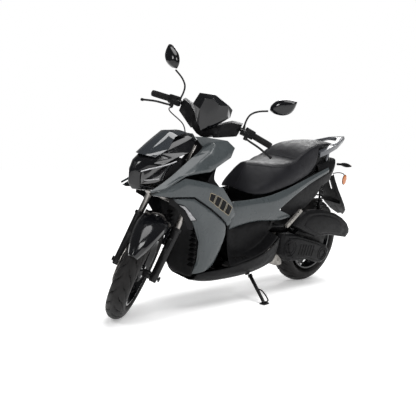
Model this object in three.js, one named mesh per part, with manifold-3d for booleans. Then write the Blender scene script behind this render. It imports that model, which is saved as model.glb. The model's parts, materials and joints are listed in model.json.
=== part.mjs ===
// A 125 cc class step-through sports scooter, standing on its side stand with the steering at its
// left stop.
// Millimetres. The scooter is drawn upright, with its nose towards -Y, its left side towards +X and the
// ground at z = 0. Its group then leans left, and the whole is set down over the frame's origin.
import * as THREE from "three";
import { mergeVertices } from "three/addons/utils/BufferGeometryUtils.js";
import Module from "manifold-3d";

const wasm = await Module();
wasm.setup();

// ---- Driving dimensions -------------------------------------------------------------------------
const DEG = Math.PI / 180;
const LEAN = 9.4 * DEG; // how far the scooter leans onto its stand
const STEER = 42 * DEG; // the left steering stop, where the bars rest
const RAKE = 26 * DEG; // steering axis from the vertical
const TRAIL = 104;
const WHEELBASE = 1350;
const FRONT_Y = -WHEELBASE / 2;
const REAR_Y = WHEELBASE / 2;
const FRONT_TYRE = { radius: 265, half: 47, bead: 181 };
const REAR_TYRE = { radius: 274, half: 66, bead: 181 };
const LEG_X = 99; // half the distance between the fork legs
const CLEAR = 0.3; // gap kept between touching pieces
const SKIN = 4; // wall of the moulded panels
const PITCH = 0.508 * DEG; // the turned wheel drops the nose a little
const GROUND_SHIFT = [-169.4, -75.8, -4.4]; // sets the leaning scooter over the origin

const FRONT_AXLE = [0, FRONT_Y, FRONT_TYRE.radius];
const REAR_AXLE = [0, REAR_Y, REAR_TYRE.radius];
const STEER_FOOT = [0, FRONT_Y - TRAIL, 0]; // where the steering axis meets the ground
const STEER_DIR = [0, Math.sin(RAKE), Math.cos(RAKE)];
const ENGINE_PIVOT = [0, 215, 345];
const PIVOT_BORE = 12.6;

// ---- Finishes -----------------------------------------------------------------------------------
const finish = (color, roughness, metalness = 0) =>
  new THREE.MeshStandardMaterial({ color, roughness, metalness });
const GREY_PAINT = finish(0x6d7377, 0.25, 0.1);
const GLOSS_BLACK = finish(0x14161a, 0.12);
const SATIN_BLACK = finish(0x232427, 0.5);
const RUBBER = finish(0x1b1b1c, 0.85);
const TREAD = finish(0x202021, 0.9);
const STEEL = finish(0xb9bbbd, 0.3, 0.9);
const ALLOY = finish(0xa7a39b, 0.45, 0.8);
const LENS = finish(0xd8dde2, 0.05);
const SMOKED = finish(0x2a2d31, 0.08);
const RED_LENS = finish(0xa01414, 0.15);
const VINYL = finish(0x29292b, 0.7);

// ---- Solids -------------------------------------------------------------------------------------
// A closed triangle list (flat array of numbers) as a manifold solid, turned to face outwards.
function solidFrom(flat) {
  const loose = new THREE.BufferGeometry();
  loose.setAttribute("position", new THREE.BufferAttribute(new Float32Array(flat), 3));
  const merged = mergeVertices(loose, 1e-4);
  const tris = new Uint32Array(merged.index.array);
  const verts = merged.attributes.position.array;
  const build = () => new wasm.Manifold(
    new wasm.Mesh({ numProp: 3, vertProperties: verts, triVerts: tris }));
  const made = build();
  if (made.volume() > 0) return made;
  for (let i = 0; i < tris.length; i += 3) [tris[i + 1], tris[i + 2]] = [tris[i + 2], tris[i + 1]];
  return build();
}

// A three.js geometry, already in place, as a manifold solid.
function solidOf(geometry) {
  const g = geometry.index ? geometry.toNonIndexed() : geometry;
  return solidFrom(Array.from(g.attributes.position.array));
}

// Loops of points joined in order, with both ends closed. Every loop has the same number of points.
function loft(loops) {
  const flat = [];
  const tri = (a, b, c) => flat.push(...a, ...b, ...c);
  const n = loops[0].length;
  for (let s = 0; s + 1 < loops.length; s++) {
    for (let i = 0; i < n; i++) {
      const j = (i + 1) % n;
      tri(loops[s][i], loops[s + 1][i], loops[s + 1][j]);
      tri(loops[s][i], loops[s + 1][j], loops[s][j]);
    }
  }
  const first = loops[0];
  const last = loops[loops.length - 1];
  for (let i = 1; i + 1 < n; i++) {
    tri(first[0], first[i], first[i + 1]);
    tri(last[0], last[i + 1], last[i]);
  }
  return solidFrom(flat);
}

// A moulded panel: outer points, the faces between them, and a wall thickness grown inwards.
// The outer faces turn anticlockwise seen from outside.
function shell(points, faces, wall = SKIN) {
  const normals = points.map(() => new THREE.Vector3());
  const at = (i) => new THREE.Vector3(...points[i]);
  const tris = faces.flatMap((f) => f.slice(2).map((_, k) => [f[0], f[k + 1], f[k + 2]]));
  for (const [a, b, c] of tris) {
    const cross = at(b).sub(at(a)).cross(at(c).sub(at(a)));
    for (const i of [a, b, c]) normals[i].add(cross);
  }
  const inner = points.map((p, i) => at(i).sub(normals[i].normalize().multiplyScalar(wall)).toArray());
  const flat = [];
  const edges = new Map();
  for (const [a, b, c] of tris) {
    flat.push(...points[a], ...points[b], ...points[c]);
    flat.push(...inner[a], ...inner[c], ...inner[b]);
    for (const [p, q] of [[a, b], [b, c], [c, a]]) {
      if (edges.has(`${q},${p}`)) edges.delete(`${q},${p}`);
      else edges.set(`${p},${q}`, [p, q]);
    }
  }
  for (const [p, q] of edges.values()) {
    flat.push(...points[p], ...inner[p], ...inner[q], ...points[p], ...inner[q], ...points[q]);
  }
  return solidFrom(flat);
}

// Grids of points, row by row, as one panel. Grids meet where their points are the same.
function panel(grids, wall = SKIN) {
  const points = [];
  const found = new Map();
  const index = (p) => {
    const key = p.join();
    if (!found.has(key)) found.set(key, points.push(p) - 1);
    return found.get(key);
  };
  const faces = [];
  for (const rows of grids)
    for (let r = 0; r + 1 < rows.length; r++)
      for (let c = 0; c + 1 < rows[r].length; c++) {
        const corners = [rows[r][c], rows[r][c + 1], rows[r + 1][c + 1], rows[r + 1][c]].map(index);
        faces.push(corners.filter((v, i) => corners.indexOf(v) === i));
      }
  return shell(points, faces.filter((f) => f.length > 2), wall);
}

// A solid moved by a matrix.
function moved(solid, matrix) {
  const m = solid.getMesh();
  const at = (i) => new THREE.Vector3(...[0, 1, 2].map((k) => m.vertProperties[m.numProp * i + k]))
    .applyMatrix4(matrix).toArray();
  return solidFrom(Array.from(m.triVerts).flatMap(at));
}

// A solid swollen by about a gap, used to cut room for a neighbour.
function grown(solid, gap) {
  const m = solid.getMesh();
  const at = (i) => new THREE.Vector3(...[0, 1, 2].map((k) => m.vertProperties[m.numProp * i + k]));
  const points = Array.from({ length: m.numVert }, (_, i) => at(i));
  const normals = points.map(() => new THREE.Vector3());
  for (let t = 0; t < m.triVerts.length; t += 3) {
    const [a, b, c] = [0, 1, 2].map((k) => m.triVerts[t + k]);
    const cross = points[b].clone().sub(points[a]).cross(points[c].clone().sub(points[a]));
    for (const i of [a, b, c]) normals[i].add(cross);
  }
  const out = points.map((p, i) => p.addScaledVector(normals[i].normalize(), gap).toArray());
  return solidFrom(Array.from(m.triVerts).flatMap((i) => out[i]));
}

const MIRROR = new THREE.Matrix4().makeScale(-1, 1, 1);
const flip = ([x, y, z]) => [-x, y, z];
const flipPart = (solid) => moved(solid, MIRROR);
// A grid with each row run the other way, which turns its outside round.
const backwards = (rows) => rows.map((row) => row.slice().reverse());
// Half a cross-section, from the centre line out, as a whole one.
const whole = (half) => [...half.slice(1).reverse().map(flip), ...half];
// Half a closed section, centre point to centre point, as a whole loop.
const ring = (half) => [...half, ...half.slice(1, -1).reverse().map(flip)];

// A round bar between two points.
function bar(a, b, radius, endRadius = radius, sides = 16) {
  const from = new THREE.Vector3(...a);
  const to = new THREE.Vector3(...b);
  const g = new THREE.CylinderGeometry(endRadius, radius, from.distanceTo(to), sides);
  const turn = new THREE.Quaternion().setFromUnitVectors(
    new THREE.Vector3(0, 1, 0), to.clone().sub(from).normalize());
  g.applyQuaternion(turn);
  g.translate(...from.add(to).multiplyScalar(0.5).toArray());
  return solidOf(g);
}

// A tube or rod along a smooth route.
function rod(route, radius, sides = 8, steps = 24, tension = 0.5) {
  const curve = new THREE.CatmullRomCurve3(route.map((p) => new THREE.Vector3(...p)), false,
    "catmullrom", tension);
  const section = new THREE.Shape();
  for (let i = 0; i < sides; i++) {
    const a = (2 * Math.PI * i) / sides;
    if (i) section.lineTo(radius * Math.cos(a), radius * Math.sin(a));
    else section.moveTo(radius, 0);
  }
  return solidOf(new THREE.ExtrudeGeometry(section, { extrudePath: curve, steps, bevelEnabled: false }));
}

// An outline in the side view, (y, z) pairs, as a slab from x = low to x = high.
function sideSlab(outline, low, high) {
  return loft([outline.map(([y, z]) => [low, y, z]), outline.map(([y, z]) => [high, y, z])]);
}

// A (x, r) profile turned about an axle along X, closed on itself.
function turned(profile, axle, segments) {
  const points = [...profile, profile[0]].map(([x, r]) => new THREE.Vector2(r, x));
  const g = new THREE.LatheGeometry(points, segments);
  g.rotateZ(-Math.PI / 2);
  g.translate(...axle);
  return solidOf(g);
}

const join = (...solids) => solids.reduce((a, b) => a.add(b));
const box = (centre, size) => {
  const g = new THREE.BoxGeometry(...size);
  g.translate(...centre);
  return solidOf(g);
};

// ---- The scene graph ----------------------------------------------------------------------------
const resting = new THREE.Group(); // both tyres and the stand's foot on the ground
resting.rotation.x = PITCH;
resting.position.set(...GROUND_SHIFT);
const scooter = new THREE.Group();
scooter.rotation.y = LEAN;
resting.add(scooter);
const steered = new THREE.Group(); // bars, fork and front wheel, turned to the left stop
const steerTurn = new THREE.Quaternion().setFromAxisAngle(new THREE.Vector3(...STEER_DIR), STEER);
steered.quaternion.copy(steerTurn);
steered.position.copy(
  new THREE.Vector3(...STEER_FOOT).sub(new THREE.Vector3(...STEER_FOOT).applyQuaternion(steerTurn)));
scooter.add(steered);

function place(name, solid, material, group = scooter) {
  const m = solid.getMesh();
  const position = new Float32Array(m.numVert * 3);
  for (let i = 0; i < m.numVert; i++)
    for (let k = 0; k < 3; k++) position[3 * i + k] = m.vertProperties[m.numProp * i + k];
  const g = new THREE.BufferGeometry();
  g.setAttribute("position", new THREE.BufferAttribute(position, 3));
  g.setIndex(new THREE.BufferAttribute(new Uint32Array(m.triVerts), 1));
  g.computeVertexNormals();
  const mesh = new THREE.Mesh(g, material);
  mesh.name = name;
  group.add(mesh);
}

// The left piece, and its mirror image on the right.
function placePair(name, solid, material, group = scooter) {
  place(`${name}_left`, solid, material, group);
  place(`${name}_right`, flipPart(solid), material, group);
}

// ---- Front fork ---------------------------------------------------------------------------------
// In the fork's own space z runs up the steering axis and -y is ahead of it. Its origin is abreast of
// the front axle.
const AXLE_AHEAD = FRONT_TYRE.radius * Math.sin(RAKE) - TRAIL * Math.cos(RAKE);
const LEG_AHEAD = 40;
const forkSpace = new THREE.Matrix4().makeRotationX(-RAKE);
forkSpace.setPosition(0, FRONT_Y + AXLE_AHEAD * Math.cos(RAKE),
  FRONT_TYRE.radius - AXLE_AHEAD * Math.sin(RAKE));
const onFork = (solid) => moved(solid, forkSpace);
const STANCHION_R = 15.5;
const STANCHION_FOOT = 84;
const SLIDER_TOP = 262; // all heights along the steering axis, from the axle
const YOKE_LOW = 368;
const YOKE_HIGH = 396;
const STEM_TOP = 690;
const legBar = (side, low, high, r, end = r, sides = 20) =>
  bar([side * LEG_X, -LEG_AHEAD, low], [side * LEG_X, -LEG_AHEAD, high], r, end, sides);

function steeringStem() {
  const bridge = box(
    [0, -LEG_AHEAD / 2 + 4, (YOKE_LOW + YOKE_HIGH) / 2], [2 * LEG_X - 20, 54, YOKE_HIGH - YOKE_LOW]);
  const stem = bar([0, 0, YOKE_LOW], [0, 0, STEM_TOP], 13.5);
  const clamp = (side) => legBar(side, YOKE_LOW - 4, YOKE_HIGH + 4, 26);
  const stanchion = (side) => legBar(side, STANCHION_FOOT, YOKE_HIGH + 18, STANCHION_R);
  return onFork(join(bridge, clamp(1), clamp(-1), stem, stanchion(1), stanchion(-1)));
}

function slider(side) {
  const tube = legBar(side, -18, SLIDER_TOP, 20, 23);
  const seal = legBar(side, SLIDER_TOP - 14, SLIDER_TOP + 2, 27);
  const lug = join(
    box([side * LEG_X, -AXLE_AHEAD - 6, 2], [34, 34, 52]),
    box([side * (LEG_X - 2), -LEG_AHEAD - 22, 170], [18, 26, 70]));
  const bore = legBar(side, 20, SLIDER_TOP + 20, STANCHION_R + 0.4, STANCHION_R + 0.4, 24);
  const axleHole = bar([side * 60, -AXLE_AHEAD, 0], [side * 140, -AXLE_AHEAD, 0], 8.6);
  return onFork(join(tube, seal, lug).subtract(bore).subtract(axleHole));
}

// Mudguard: an arched section swept round the axle, with stays down to the sliders.
function frontMudguard() {
  const sweep = [-54, -46, -34, -20, -4, 12, 28, 42].map((deg, i) => {
    const a = deg * DEG;
    const half = [20, 36, 54, 66, 72, 72, 64, 54][i];
    const at = (x, r) => [x, FRONT_Y + r * Math.sin(a), FRONT_TYRE.radius + r * Math.cos(a)];
    return whole([at(0, 308), at(half * 0.45, 303), at(half * 0.85, 290), at(half, 270)]);
  });
  const cover = panel([backwards(sweep)], 3.5);
  const stay = (side) => onFork(
    box([side * 70, -LEG_AHEAD - 10, 224], [14, 34, 124]).subtract(legBar(side, 0, SLIDER_TOP + 40, 28)));
  return join(cover, stay(1), stay(-1));
}

function frontAxle() {
  return onFork(join(
    bar([-128, -AXLE_AHEAD, 0], [128, -AXLE_AHEAD, 0], 7.8),
    bar([120.5, -AXLE_AHEAD, 0], [130, -AXLE_AHEAD, 0], 13, 13, 6),
    bar([-130, -AXLE_AHEAD, 0], [-120.5, -AXLE_AHEAD, 0], 13, 13, 6),
    bar([41, -AXLE_AHEAD, 0], [77, -AXLE_AHEAD, 0], 20)));
}

// ---- Wheels -------------------------------------------------------------------------------------
function tyre({ radius, half, bead }, axle) {
  const wall = 9;
  const side = (s) => [
    [s * (half - 18), bead], [s * (half - 5), bead + 8], [s * half, bead + 34],
    [s * (half - 6), radius - 24], [s * (half - 26), radius - 5]];
  const inside = (s) => [
    [s * (half - 28), radius - wall - 8], [s * (half - wall), bead + 34], [s * (half - 26), bead + 1]];
  const profile = [...side(1), [0, radius], ...side(-1).reverse(),
    ...inside(-1).reverse(), [0, radius - wall], ...inside(1)];
  return turned(profile, axle, 32);
}

function rim({ half, bead }, axle, hubHalf, bore, spokes) {
  const w = half - 8;
  const out = bead - CLEAR;
  let body = turned([
    [w, out], [0, out], [-w, out], [-w, bead - 9], [-w + 10, bead - 12], [-14, bead - 26],
    [14, bead - 26], [w - 10, bead - 12], [w, bead - 9]], axle, 32);
  const hub = turned([
    [hubHalf, bore], [hubHalf, 30], [hubHalf - 12, 36], [-hubHalf + 12, 36], [-hubHalf, 30],
    [-hubHalf, bore]], axle, 20);
  body = body.add(hub);
  for (let i = 0; i < spokes; i++) {
    const turn = (2 * Math.PI * i) / spokes;
    const at = (x, r, off) => [
      x + axle[0], axle[1] + r * Math.sin(turn + off), axle[2] + r * Math.cos(turn + off)];
    const section = (r, thick, off, spread) => [
      at(thick, r, off - spread), at(thick, r, off + spread),
      at(-thick, r, off + spread), at(-thick, r, off - spread)];
    for (const s of [-1, 1])
      body = body.add(loft([
        section(32, 20, s * 0.1, 0.22),
        section(90, 15, s * 0.13, 0.075),
        section(bead - 20, 15, s * 0.17, 0.05)]));
  }
  return body;
}

// ---- Handlebar and controls (drawn with the steering straight ahead) ----------------------------
const GRIP_IN = new THREE.Vector3(244, -190, 1007);
const GRIP_OUT = new THREE.Vector3(349, -160, 989);
const GRIP_DIR = GRIP_OUT.clone().sub(GRIP_IN).normalize();
// A point on the left grip's axis, t millimetres outboard of the grip's inner end.
const onGrip = (t) => GRIP_IN.clone().addScaledVector(GRIP_DIR, t).toArray();
const BAR_R = 10.8;
const LEVER_PIVOT = [212, -240, 989];
const BAR_ROUTE = [[0, -292, 948], [40, -288, 950], [95, -255, 980], [140, -225, 1010], onGrip(-66)];

function handlebar() {
  const half = rod(BAR_ROUTE, BAR_R, 12, 8).add(bar(onGrip(-67), onGrip(100), BAR_R, BAR_R, 20));
  const clamp = box([0, -296, 946], [46, 40, 44]);
  return join(half, flipPart(half), clamp);
}

function grip() {
  const bore = BAR_R + CLEAR;
  return bar(onGrip(0), onGrip(106), 16.5, 16.5, 18)
    .subtract(bar(onGrip(-2), onGrip(102), bore, bore, 24));
}

function switchHousing() {
  const drum = bar(onGrip(-52), onGrip(-1), 24, 24, 14);
  const perch = loft([
    [[172, -216, 998], [224, -212, 998], [224, -212, 1022], [172, -216, 1024]],
    [[176, -252, 998], [224, -252, 998], [224, -252, 1016], [176, -252, 1022]]]);
  return join(drum, perch)
    .subtract(bar(onGrip(-70), onGrip(4), BAR_R + CLEAR, BAR_R + CLEAR, 24))
    .subtract(bar(onGrip(-110), onGrip(-50), BAR_R + 7, BAR_R + 7, 20));
}

function lever() {
  const blade = rod([
    LEVER_PIVOT, [240, -256, 986], [290, -262, 979], [335, -250, 964], [370, -233, 950]], 6, 8, 14);
  const eye = bar([212, -240, 980], [212, -240, 997.4], 11);
  const ball = bar([366, -235, 951], [375, -230, 948], 8);
  return join(blade, eye, ball);
}

function barCover() {
  const half = (y, w, low, high) => [
    [0, y, low], [w * 0.45, y, low + 8], [w, y, low + (high - low) * 0.45],
    [w, y, high], [w * 0.5, y, high + 8], [0, y, high + 10]];
  const front = half(-338, 56, 926, 985);
  const middle = half(-300, 78, 914, 1000);
  const rear = half(-236, 80, 920, 1008);
  const body = loft([ring(front), ring(middle), ring(rear)]);
  const arm = loft([
    [[60, -312, 936], [60, -246, 940], [60, -240, 1006], [60, -306, 1004]],
    [[116, -266, 954], [116, -210, 960], [116, -206, 1044], [116, -264, 1040]],
    [[166, -238, 976], [166, -182, 984], [166, -182, 1046], [166, -238, 1046]]]);
  const channel = rod(BAR_ROUTE, BAR_R + 1.2, 12, 8);
  const clamp = box([0, -296, 946], [48, 42, 46]);
  const stem = onFork(bar([0, 0, 500], [0, 0, STEM_TOP + 2], 15));
  return join(body, arm, flipPart(arm))
    .subtract(join(channel, flipPart(channel), clamp, stem))
    .subtract(grown(dash(), 1));
}

function dash() {
  const half = (y, points) => points.map(([x, z]) => [x, y, z]);
  const front = half(-392, [[0, 962], [18, 985], [44, 1062], [40, 1118], [0, 1136]]);
  const middle = half(-352, [[0, 950], [40, 985], [92, 1066], [80, 1128], [0, 1150]]);
  const rear = half(-262, [[0, 1020], [50, 1024], [100, 1058], [96, 1100], [0, 1112]]);
  const clockWell = loft([
    [[-70, -300, 1026], [70, -300, 1026], [82, -300, 1100], [-82, -300, 1100]],
    [[-74, -250, 1030], [74, -250, 1030], [88, -250, 1092], [-88, -250, 1092]]]);
  return loft([ring(front), ring(middle), ring(rear)]).subtract(clockWell);
}

function mirrorStalk() {
  const stalk = rod([
    [182, -232, 1040], [179, -228, 1072], [186, -223, 1108], [216, -221, 1138], [262, -221, 1162]],
    5.2, 8, 12);
  return join(stalk, bar([184, -234, 1025], [182, -232, 1044], 7.5, 7));
}

// Mirror head: a leaf-shaped shell, hollow behind the glass.
function mirrorHead() {
  const rimPoints = [
    [268, 1168], [300, 1160], [338, 1166], [372, 1192], [381, 1222], [378, 1262],
    [352, 1262], [310, 1247], [280, 1228], [262, 1196]];
  const [midX, midZ] = [322, 1210];
  const at = (k, y) => rimPoints.map(([x, z]) => [midX + (x - midX) * k, y, midZ + (z - midZ) * k]);
  const back = loft([at(0.45, -246), at(0.82, -238), at(1, -222), at(1, -208)]);
  const well = loft([at(0.92, -212), at(0.92, -206)]);
  return back.subtract(well).subtract(bar([242, -221, 1150], [272, -221, 1168], 7));
}

// The right head is set turned in towards the rider.
function toedIn(head) {
  const ball = new THREE.Vector3(-262, -221, 1162);
  return moved(head, new THREE.Matrix4().makeTranslation(ball)
    .multiply(new THREE.Matrix4().makeRotationZ(-36 * DEG))
    .multiply(new THREE.Matrix4().makeTranslation(ball.clone().negate())));
}

function brakeHose() {
  return rod([
    [-200, -262, 984], [-211, -284, 981], [-204, -304, 974], [-176, -312, 964], [-136, -308, 951],
    [-98, -328, 938], [-68, -358, 900], [-54, -388, 830], [-48, -412, 750], [-52, -438, 680],
    [-70, -442, 628], [-97, -484, 566], [-106, -528, 488], [-100, -578, 400]], 3.4, 8, 36);
}

// ---- Frame and inner parts ----------------------------------------------------------------------
function mainFrame() {
  const head = onFork(bar([0, 0, 404], [0, 0, 600], 29, 29, 24));
  const spine = rod([
    [0, -400, 690], [0, -330, 560], [0, -270, 400], [0, -220, 240], [0, -150, 200]], 24, 10, 10);
  const rail = (s) => rod([
    [s * 12, -214, 226], [s * 70, -170, 196], [s * 86, -60, 192], [s * 88, 60, 196],
    [s * 90, 130, 300], [s * 96, 190, 430], [s * 122, 260, 590], [s * 112, 400, 668],
    [s * 84, 600, 742], [s * 60, 740, 780]], 13, 8, 22);
  const cross = (y, z, w, r) => bar([-w, y, z], [w, y, z], r, r, 12);
  const [, pivotY, pivotZ] = ENGINE_PIVOT;
  const hanger = (s) => bar([s * 62, pivotY, pivotZ], [s * 92, 150, 340], 11);
  const pegArm = (s) => bar([s * 94, 190, 430], [s * 172, 229, 446], 8, 8, 10);
  const shockEar = box([71, 616, 719], [22, 32, 46]);
  const shockPin = bar([62, 616, 704], [104, 616, 704], 5.6);
  const standPlate = box([91, 64, 172], [8, 30, 48]);
  const body = join(
    head, spine, rail(1), rail(-1), cross(60, 196, 88, 11), cross(215, 470, 100, 11),
    cross(700, 768, 66, 10), cross(500, 705, 98, 9), shockEar, shockPin,
    cross(pivotY, pivotZ, 62, 12), hanger(1), hanger(-1), pegArm(1), pegArm(-1), standPlate);
  return body.subtract(onFork(bar([0, 0, 300], [0, 0, 800], 15.2, 15.2, 24)));
}

function fuelTank() {
  return loft([
    [[-58, -150, 300], [58, -150, 300], [58, -150, 440], [-58, -150, 440]],
    [[-66, -60, 232], [66, -60, 232], [66, -60, 470], [-66, -60, 470]],
    [[-66, 90, 236], [66, 90, 236], [66, 90, 480], [-66, 90, 480]]]);
}

function storageBin() {
  const loopAt = (y, w, low, high) => [
    [-w, y, high], [-w, y, low + 20], [-w + 20, y, low],
    [w - 20, y, low], [w, y, low + 20], [w, y, high]];
  const narrowed = (l, t) => l.map(([x, y, z], i) => [
    x - Math.sign(x) * t, y, z + (i > 0 && i < 5 ? t : 6)]);
  const outer = [
    loopAt(20, 96, 540, 628), loopAt(60, 100, 520, 628),
    loopAt(200, 100, 520, 640), loopAt(420, 86, 560, 664)];
  const endWall = [4, 0, 0, -4];
  const inner = outer.map((l, i) => narrowed(l, 4).map(([x, y, z]) => [x, y + endWall[i], z]));
  return loft(outer).subtract(loft(inner));
}

// ---- Body panels --------------------------------------------------------------------------------
function shoulder() {
  const edge = [
    [118, -706, 673], [116, -640, 704], [112, -564, 752], [103, -470, 818], [98, -419, 849],
    [90, -384, 880], [88, -440, 930]];
  const ridge = [
    [120, -704, 671], [134, -640, 692], [140, -555, 740], [138, -450, 806], [134, -370, 862],
    [118, -336, 910], [110, -390, 931]];
  const low = [
    [121, -702, 670], [142, -630, 694], [152, -535, 752], [156, -470, 768], [158, -380, 778],
    [160, -255, 850], [132, -262, 918]];
  const under = [
    [120, -700, 669], [138, -625, 690], [147, -528, 748], [149, -462, 760], [150, -372, 768],
    [152, -246, 838], [146, -219, 884]];
  return panel([[edge, ridge, low, under]]);
}

function apron() {
  const rows = [
    [[119, -698, 659], [140, -615, 692], [153, -529, 737], [163, -420, 722],
      [170, -290, 686], [169, -212, 605], [167, -176, 540], [163, -206, 486]],
    [[124, -692, 657], [152, -600, 676], [163, -510, 704], [172, -410, 690],
      [177, -305, 640], [175, -240, 570], [172, -206, 520], [165, -212, 484]],
    [[125, -686, 655], [150, -600, 649], [158, -532, 650], [164, -464, 648],
      [169, -352, 588], [169, -275, 536], [167, -234, 505], [164, -220, 482]],
    [[114, -682, 651], [138, -598, 643], [146, -530, 643], [152, -463, 640],
      [157, -353, 581], [158, -278, 530], [157, -238, 499], [155, -224, 478]],
    [[132, -600, 644], [149, -568, 638], [157, -522, 636], [163, -466, 632],
      [167, -357, 573], [168, -282, 522], [167, -243, 492], [164, -230, 472]],
    [[142, -502, 584], [152, -482, 578], [159, -458, 568], [166, -430, 548],
      [171, -350, 520], [172, -290, 490], [169, -252, 462], [163, -228, 432]],
    [[138, -440, 512], [149, -426, 506], [157, -408, 494], [164, -385, 476],
      [170, -330, 452], [171, -290, 425], [168, -258, 402], [160, -238, 385]],
    [[136, -384, 402], [146, -378, 397], [154, -368, 389], [161, -350, 377],
      [167, -320, 362], [167, -290, 350], [163, -264, 340], [155, -252, 332]],
    [[133, -382, 300], [141, -378, 298], [149, -370, 295], [155, -358, 291],
      [160, -332, 285], [159, -308, 280], [154, -290, 275], [148, -276, 272]],
    [[130, -402, 234], [137, -394, 235], [143, -384, 237], [147, -368, 239],
      [151, -346, 243], [150, -326, 247], [146, -308, 250], [141, -296, 253]]];
  return panel([backwards(rows)]);
}

// The nose is a wedge in plan: its face runs back as it runs out.
const NOSE_TIP = -747;
const NOSE_SWEEP = 0.93;
const noseFace = (x, z, back = 0) => [x, NOSE_TIP + NOSE_SWEEP * Math.max(0, x - 8) + back, z];

function noseCover() {
  const rows = [
    [[0, -636, 650], [30, -630, 651], [58, -618, 655], [84, -604, 662]],
    [noseFace(0, 664, 22), noseFace(32, 666, 20), noseFace(62, 671, 20), noseFace(96, 678, 22)],
    [noseFace(0, 692), noseFace(20, 692), noseFace(34, 692), noseFace(44, 693)],
    [noseFace(0, 728, -3), noseFace(20, 728), noseFace(34, 728), noseFace(42, 728)],
    [noseFace(0, 758, 2), noseFace(20, 757), noseFace(34, 755), noseFace(44, 754)],
    [[0, -728, 800], [30, -714, 799], [66, -680, 794], [104, -630, 796]],
    [[0, -650, 866], [34, -642, 862], [66, -618, 842], [100, -560, 826]],
    [[0, -560, 908], [38, -552, 902], [70, -522, 878], [94, -462, 856]],
    [[0, -462, 932], [38, -454, 930], [66, -438, 922], [76, -426, 906]]];
  return panel([rows.map(whole)]);
}

function headlightUnit() {
  const rows = [
    [noseFace(48, 697), noseFace(74, 702), noseFace(96, 710), noseFace(112, 722)],
    [noseFace(46, 728), noseFace(72, 730), noseFace(96, 738), noseFace(114, 750)],
    [noseFace(48, 750), noseFace(72, 762), noseFace(96, 778), [110, -600, 794]],
    [noseFace(60, 760, 4), noseFace(80, 772, 8), [98, -622, 792], [106, -560, 812]]];
  const lamp = (s) => {
    const front = rows.map((r) => r.map(([x, y, z]) => [s * x, y, z]));
    const back = rows.map((r) => r.map(([x, y, z]) => [s * (x - 10), y + 34, z]));
    const edge = (g) => [
      ...g[0], ...g.slice(1, -1).map((r) => r[3]),
      ...g[3].slice().reverse(), ...g.slice(1, -1).map((r) => r[0]).reverse()];
    return loft([edge(back), edge(front)]);
  };
  return join(lamp(1), lamp(-1), bar([-78, -652, 732], [78, -652, 732], 11, 11, 12));
}

function windscreen() {
  const rows = [
    [[0, -712, 836], [38, -694, 832], [70, -656, 826]],
    [[0, -640, 894], [42, -624, 888], [76, -586, 866]],
    [[0, -560, 948], [34, -556, 942], [58, -540, 922]],
    [[0, -470, 950], [30, -468, 948], [46, -462, 944]]];
  return panel([rows.map(whole)], 3);
}

function innerShield() {
  const rows = [
    [[0, -402, 592], [60, -402, 592], [116, -404, 588], [134, -440, 580]],
    [[0, -392, 540], [60, -392, 540], [112, -396, 536], [132, -440, 530]],
    [[0, -366, 440], [60, -366, 440], [108, -372, 438], [126, -396, 436]],
    [[0, -362, 320], [60, -362, 320], [104, -366, 318], [120, -378, 316]],
    [[0, -368, 246], [60, -368, 246], [100, -372, 248], [116, -384, 252]],
    [[0, -374, 192], [60, -374, 192], [96, -376, 206], [112, -386, 236]]];
  return panel([rows.map(whole).reverse()]);
}

function floorTunnel() {
  const rows = [
    [[0, -270, 902], [56, -268, 900], [98, -258, 894],
      [124, -246, 885], [136, -236, 872], [138, -228, 862]],
    [[0, -266, 800], [56, -270, 798], [98, -288, 794],
      [120, -306, 790], [132, -322, 784], [134, -330, 778]],
    [[0, -244, 706], [56, -250, 702], [92, -292, 706],
      [118, -338, 712], [138, -372, 716], [142, -380, 716]],
    [[0, -176, 656], [52, -182, 652], [88, -224, 648],
      [116, -258, 648], [142, -280, 652], [148, -284, 648]],
    [[0, -140, 596], [54, -144, 588], [84, -164, 560],
      [108, -188, 556], [138, -206, 556], [148, -212, 552]],
    [[0, -122, 516], [60, -122, 514], [92, -140, 490],
      [108, -162, 430], [134, -186, 400], [154, -206, 390]],
    [[0, -70, 505], [62, -70, 505], [100, -96, 430],
      [106, -136, 320], [150, -168, 276], [188, -190, 258]],
    [[0, 30, 505], [62, 30, 505], [104, 30, 478],
      [108, 30, 302], [150, 30, 292], [190, 30, 290]],
    [[0, 120, 505], [62, 120, 505], [104, 120, 478],
      [110, 120, 348], [150, 125, 338], [188, 125, 336]],
    [[0, 176, 505], [62, 176, 505], [104, 176, 478],
      [112, 176, 402], [150, 180, 392], [180, 184, 388]]];
  return panel([backwards(rows.map(whole))]);
}

function sideBody() {
  const front = [
    [[122, -168, 446], [134, -172, 474], [138, -176, 520], [136, -174, 566], [126, -170, 600]],
    [[126, -110, 462], [140, -108, 500], [148, -105, 540], [146, -100, 580], [134, -95, 601]],
    [[136, -15, 482], [152, -12, 512], [160, -10, 548], [158, -8, 588], [146, -4, 610]],
    [[144, 80, 484], [161, 82, 512], [169, 85, 546], [166, 86, 592], [152, 88, 620]],
    [[150, 165, 476], [166, 165, 508], [172, 165, 544], [170, 165, 600], [154, 165, 640]]];
  const lobe = [
    [[150, 165, 476], [166, 165, 508], [172, 165, 544]],
    [[153, 225, 480], [166, 225, 500], [170, 225, 523]],
    [[156, 281, 490], [164, 281, 496], [166, 281, 501]]];
  const arm = [
    [[172, 165, 544], [170, 165, 600], [154, 165, 640]],
    [[168, 260, 598], [168, 260, 636], [154, 260, 663]],
    [[163, 349, 644], [162, 349, 670], [148, 349, 690]],
    [[152, 430, 676], [151, 430, 698], [140, 430, 710]],
    [[141, 530, 708], [141, 530, 727], [131, 530, 738]],
    [[130, 640, 742], [130, 640, 757], [122, 640, 766]]];
  return panel([front, lobe, arm]);
}

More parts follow.
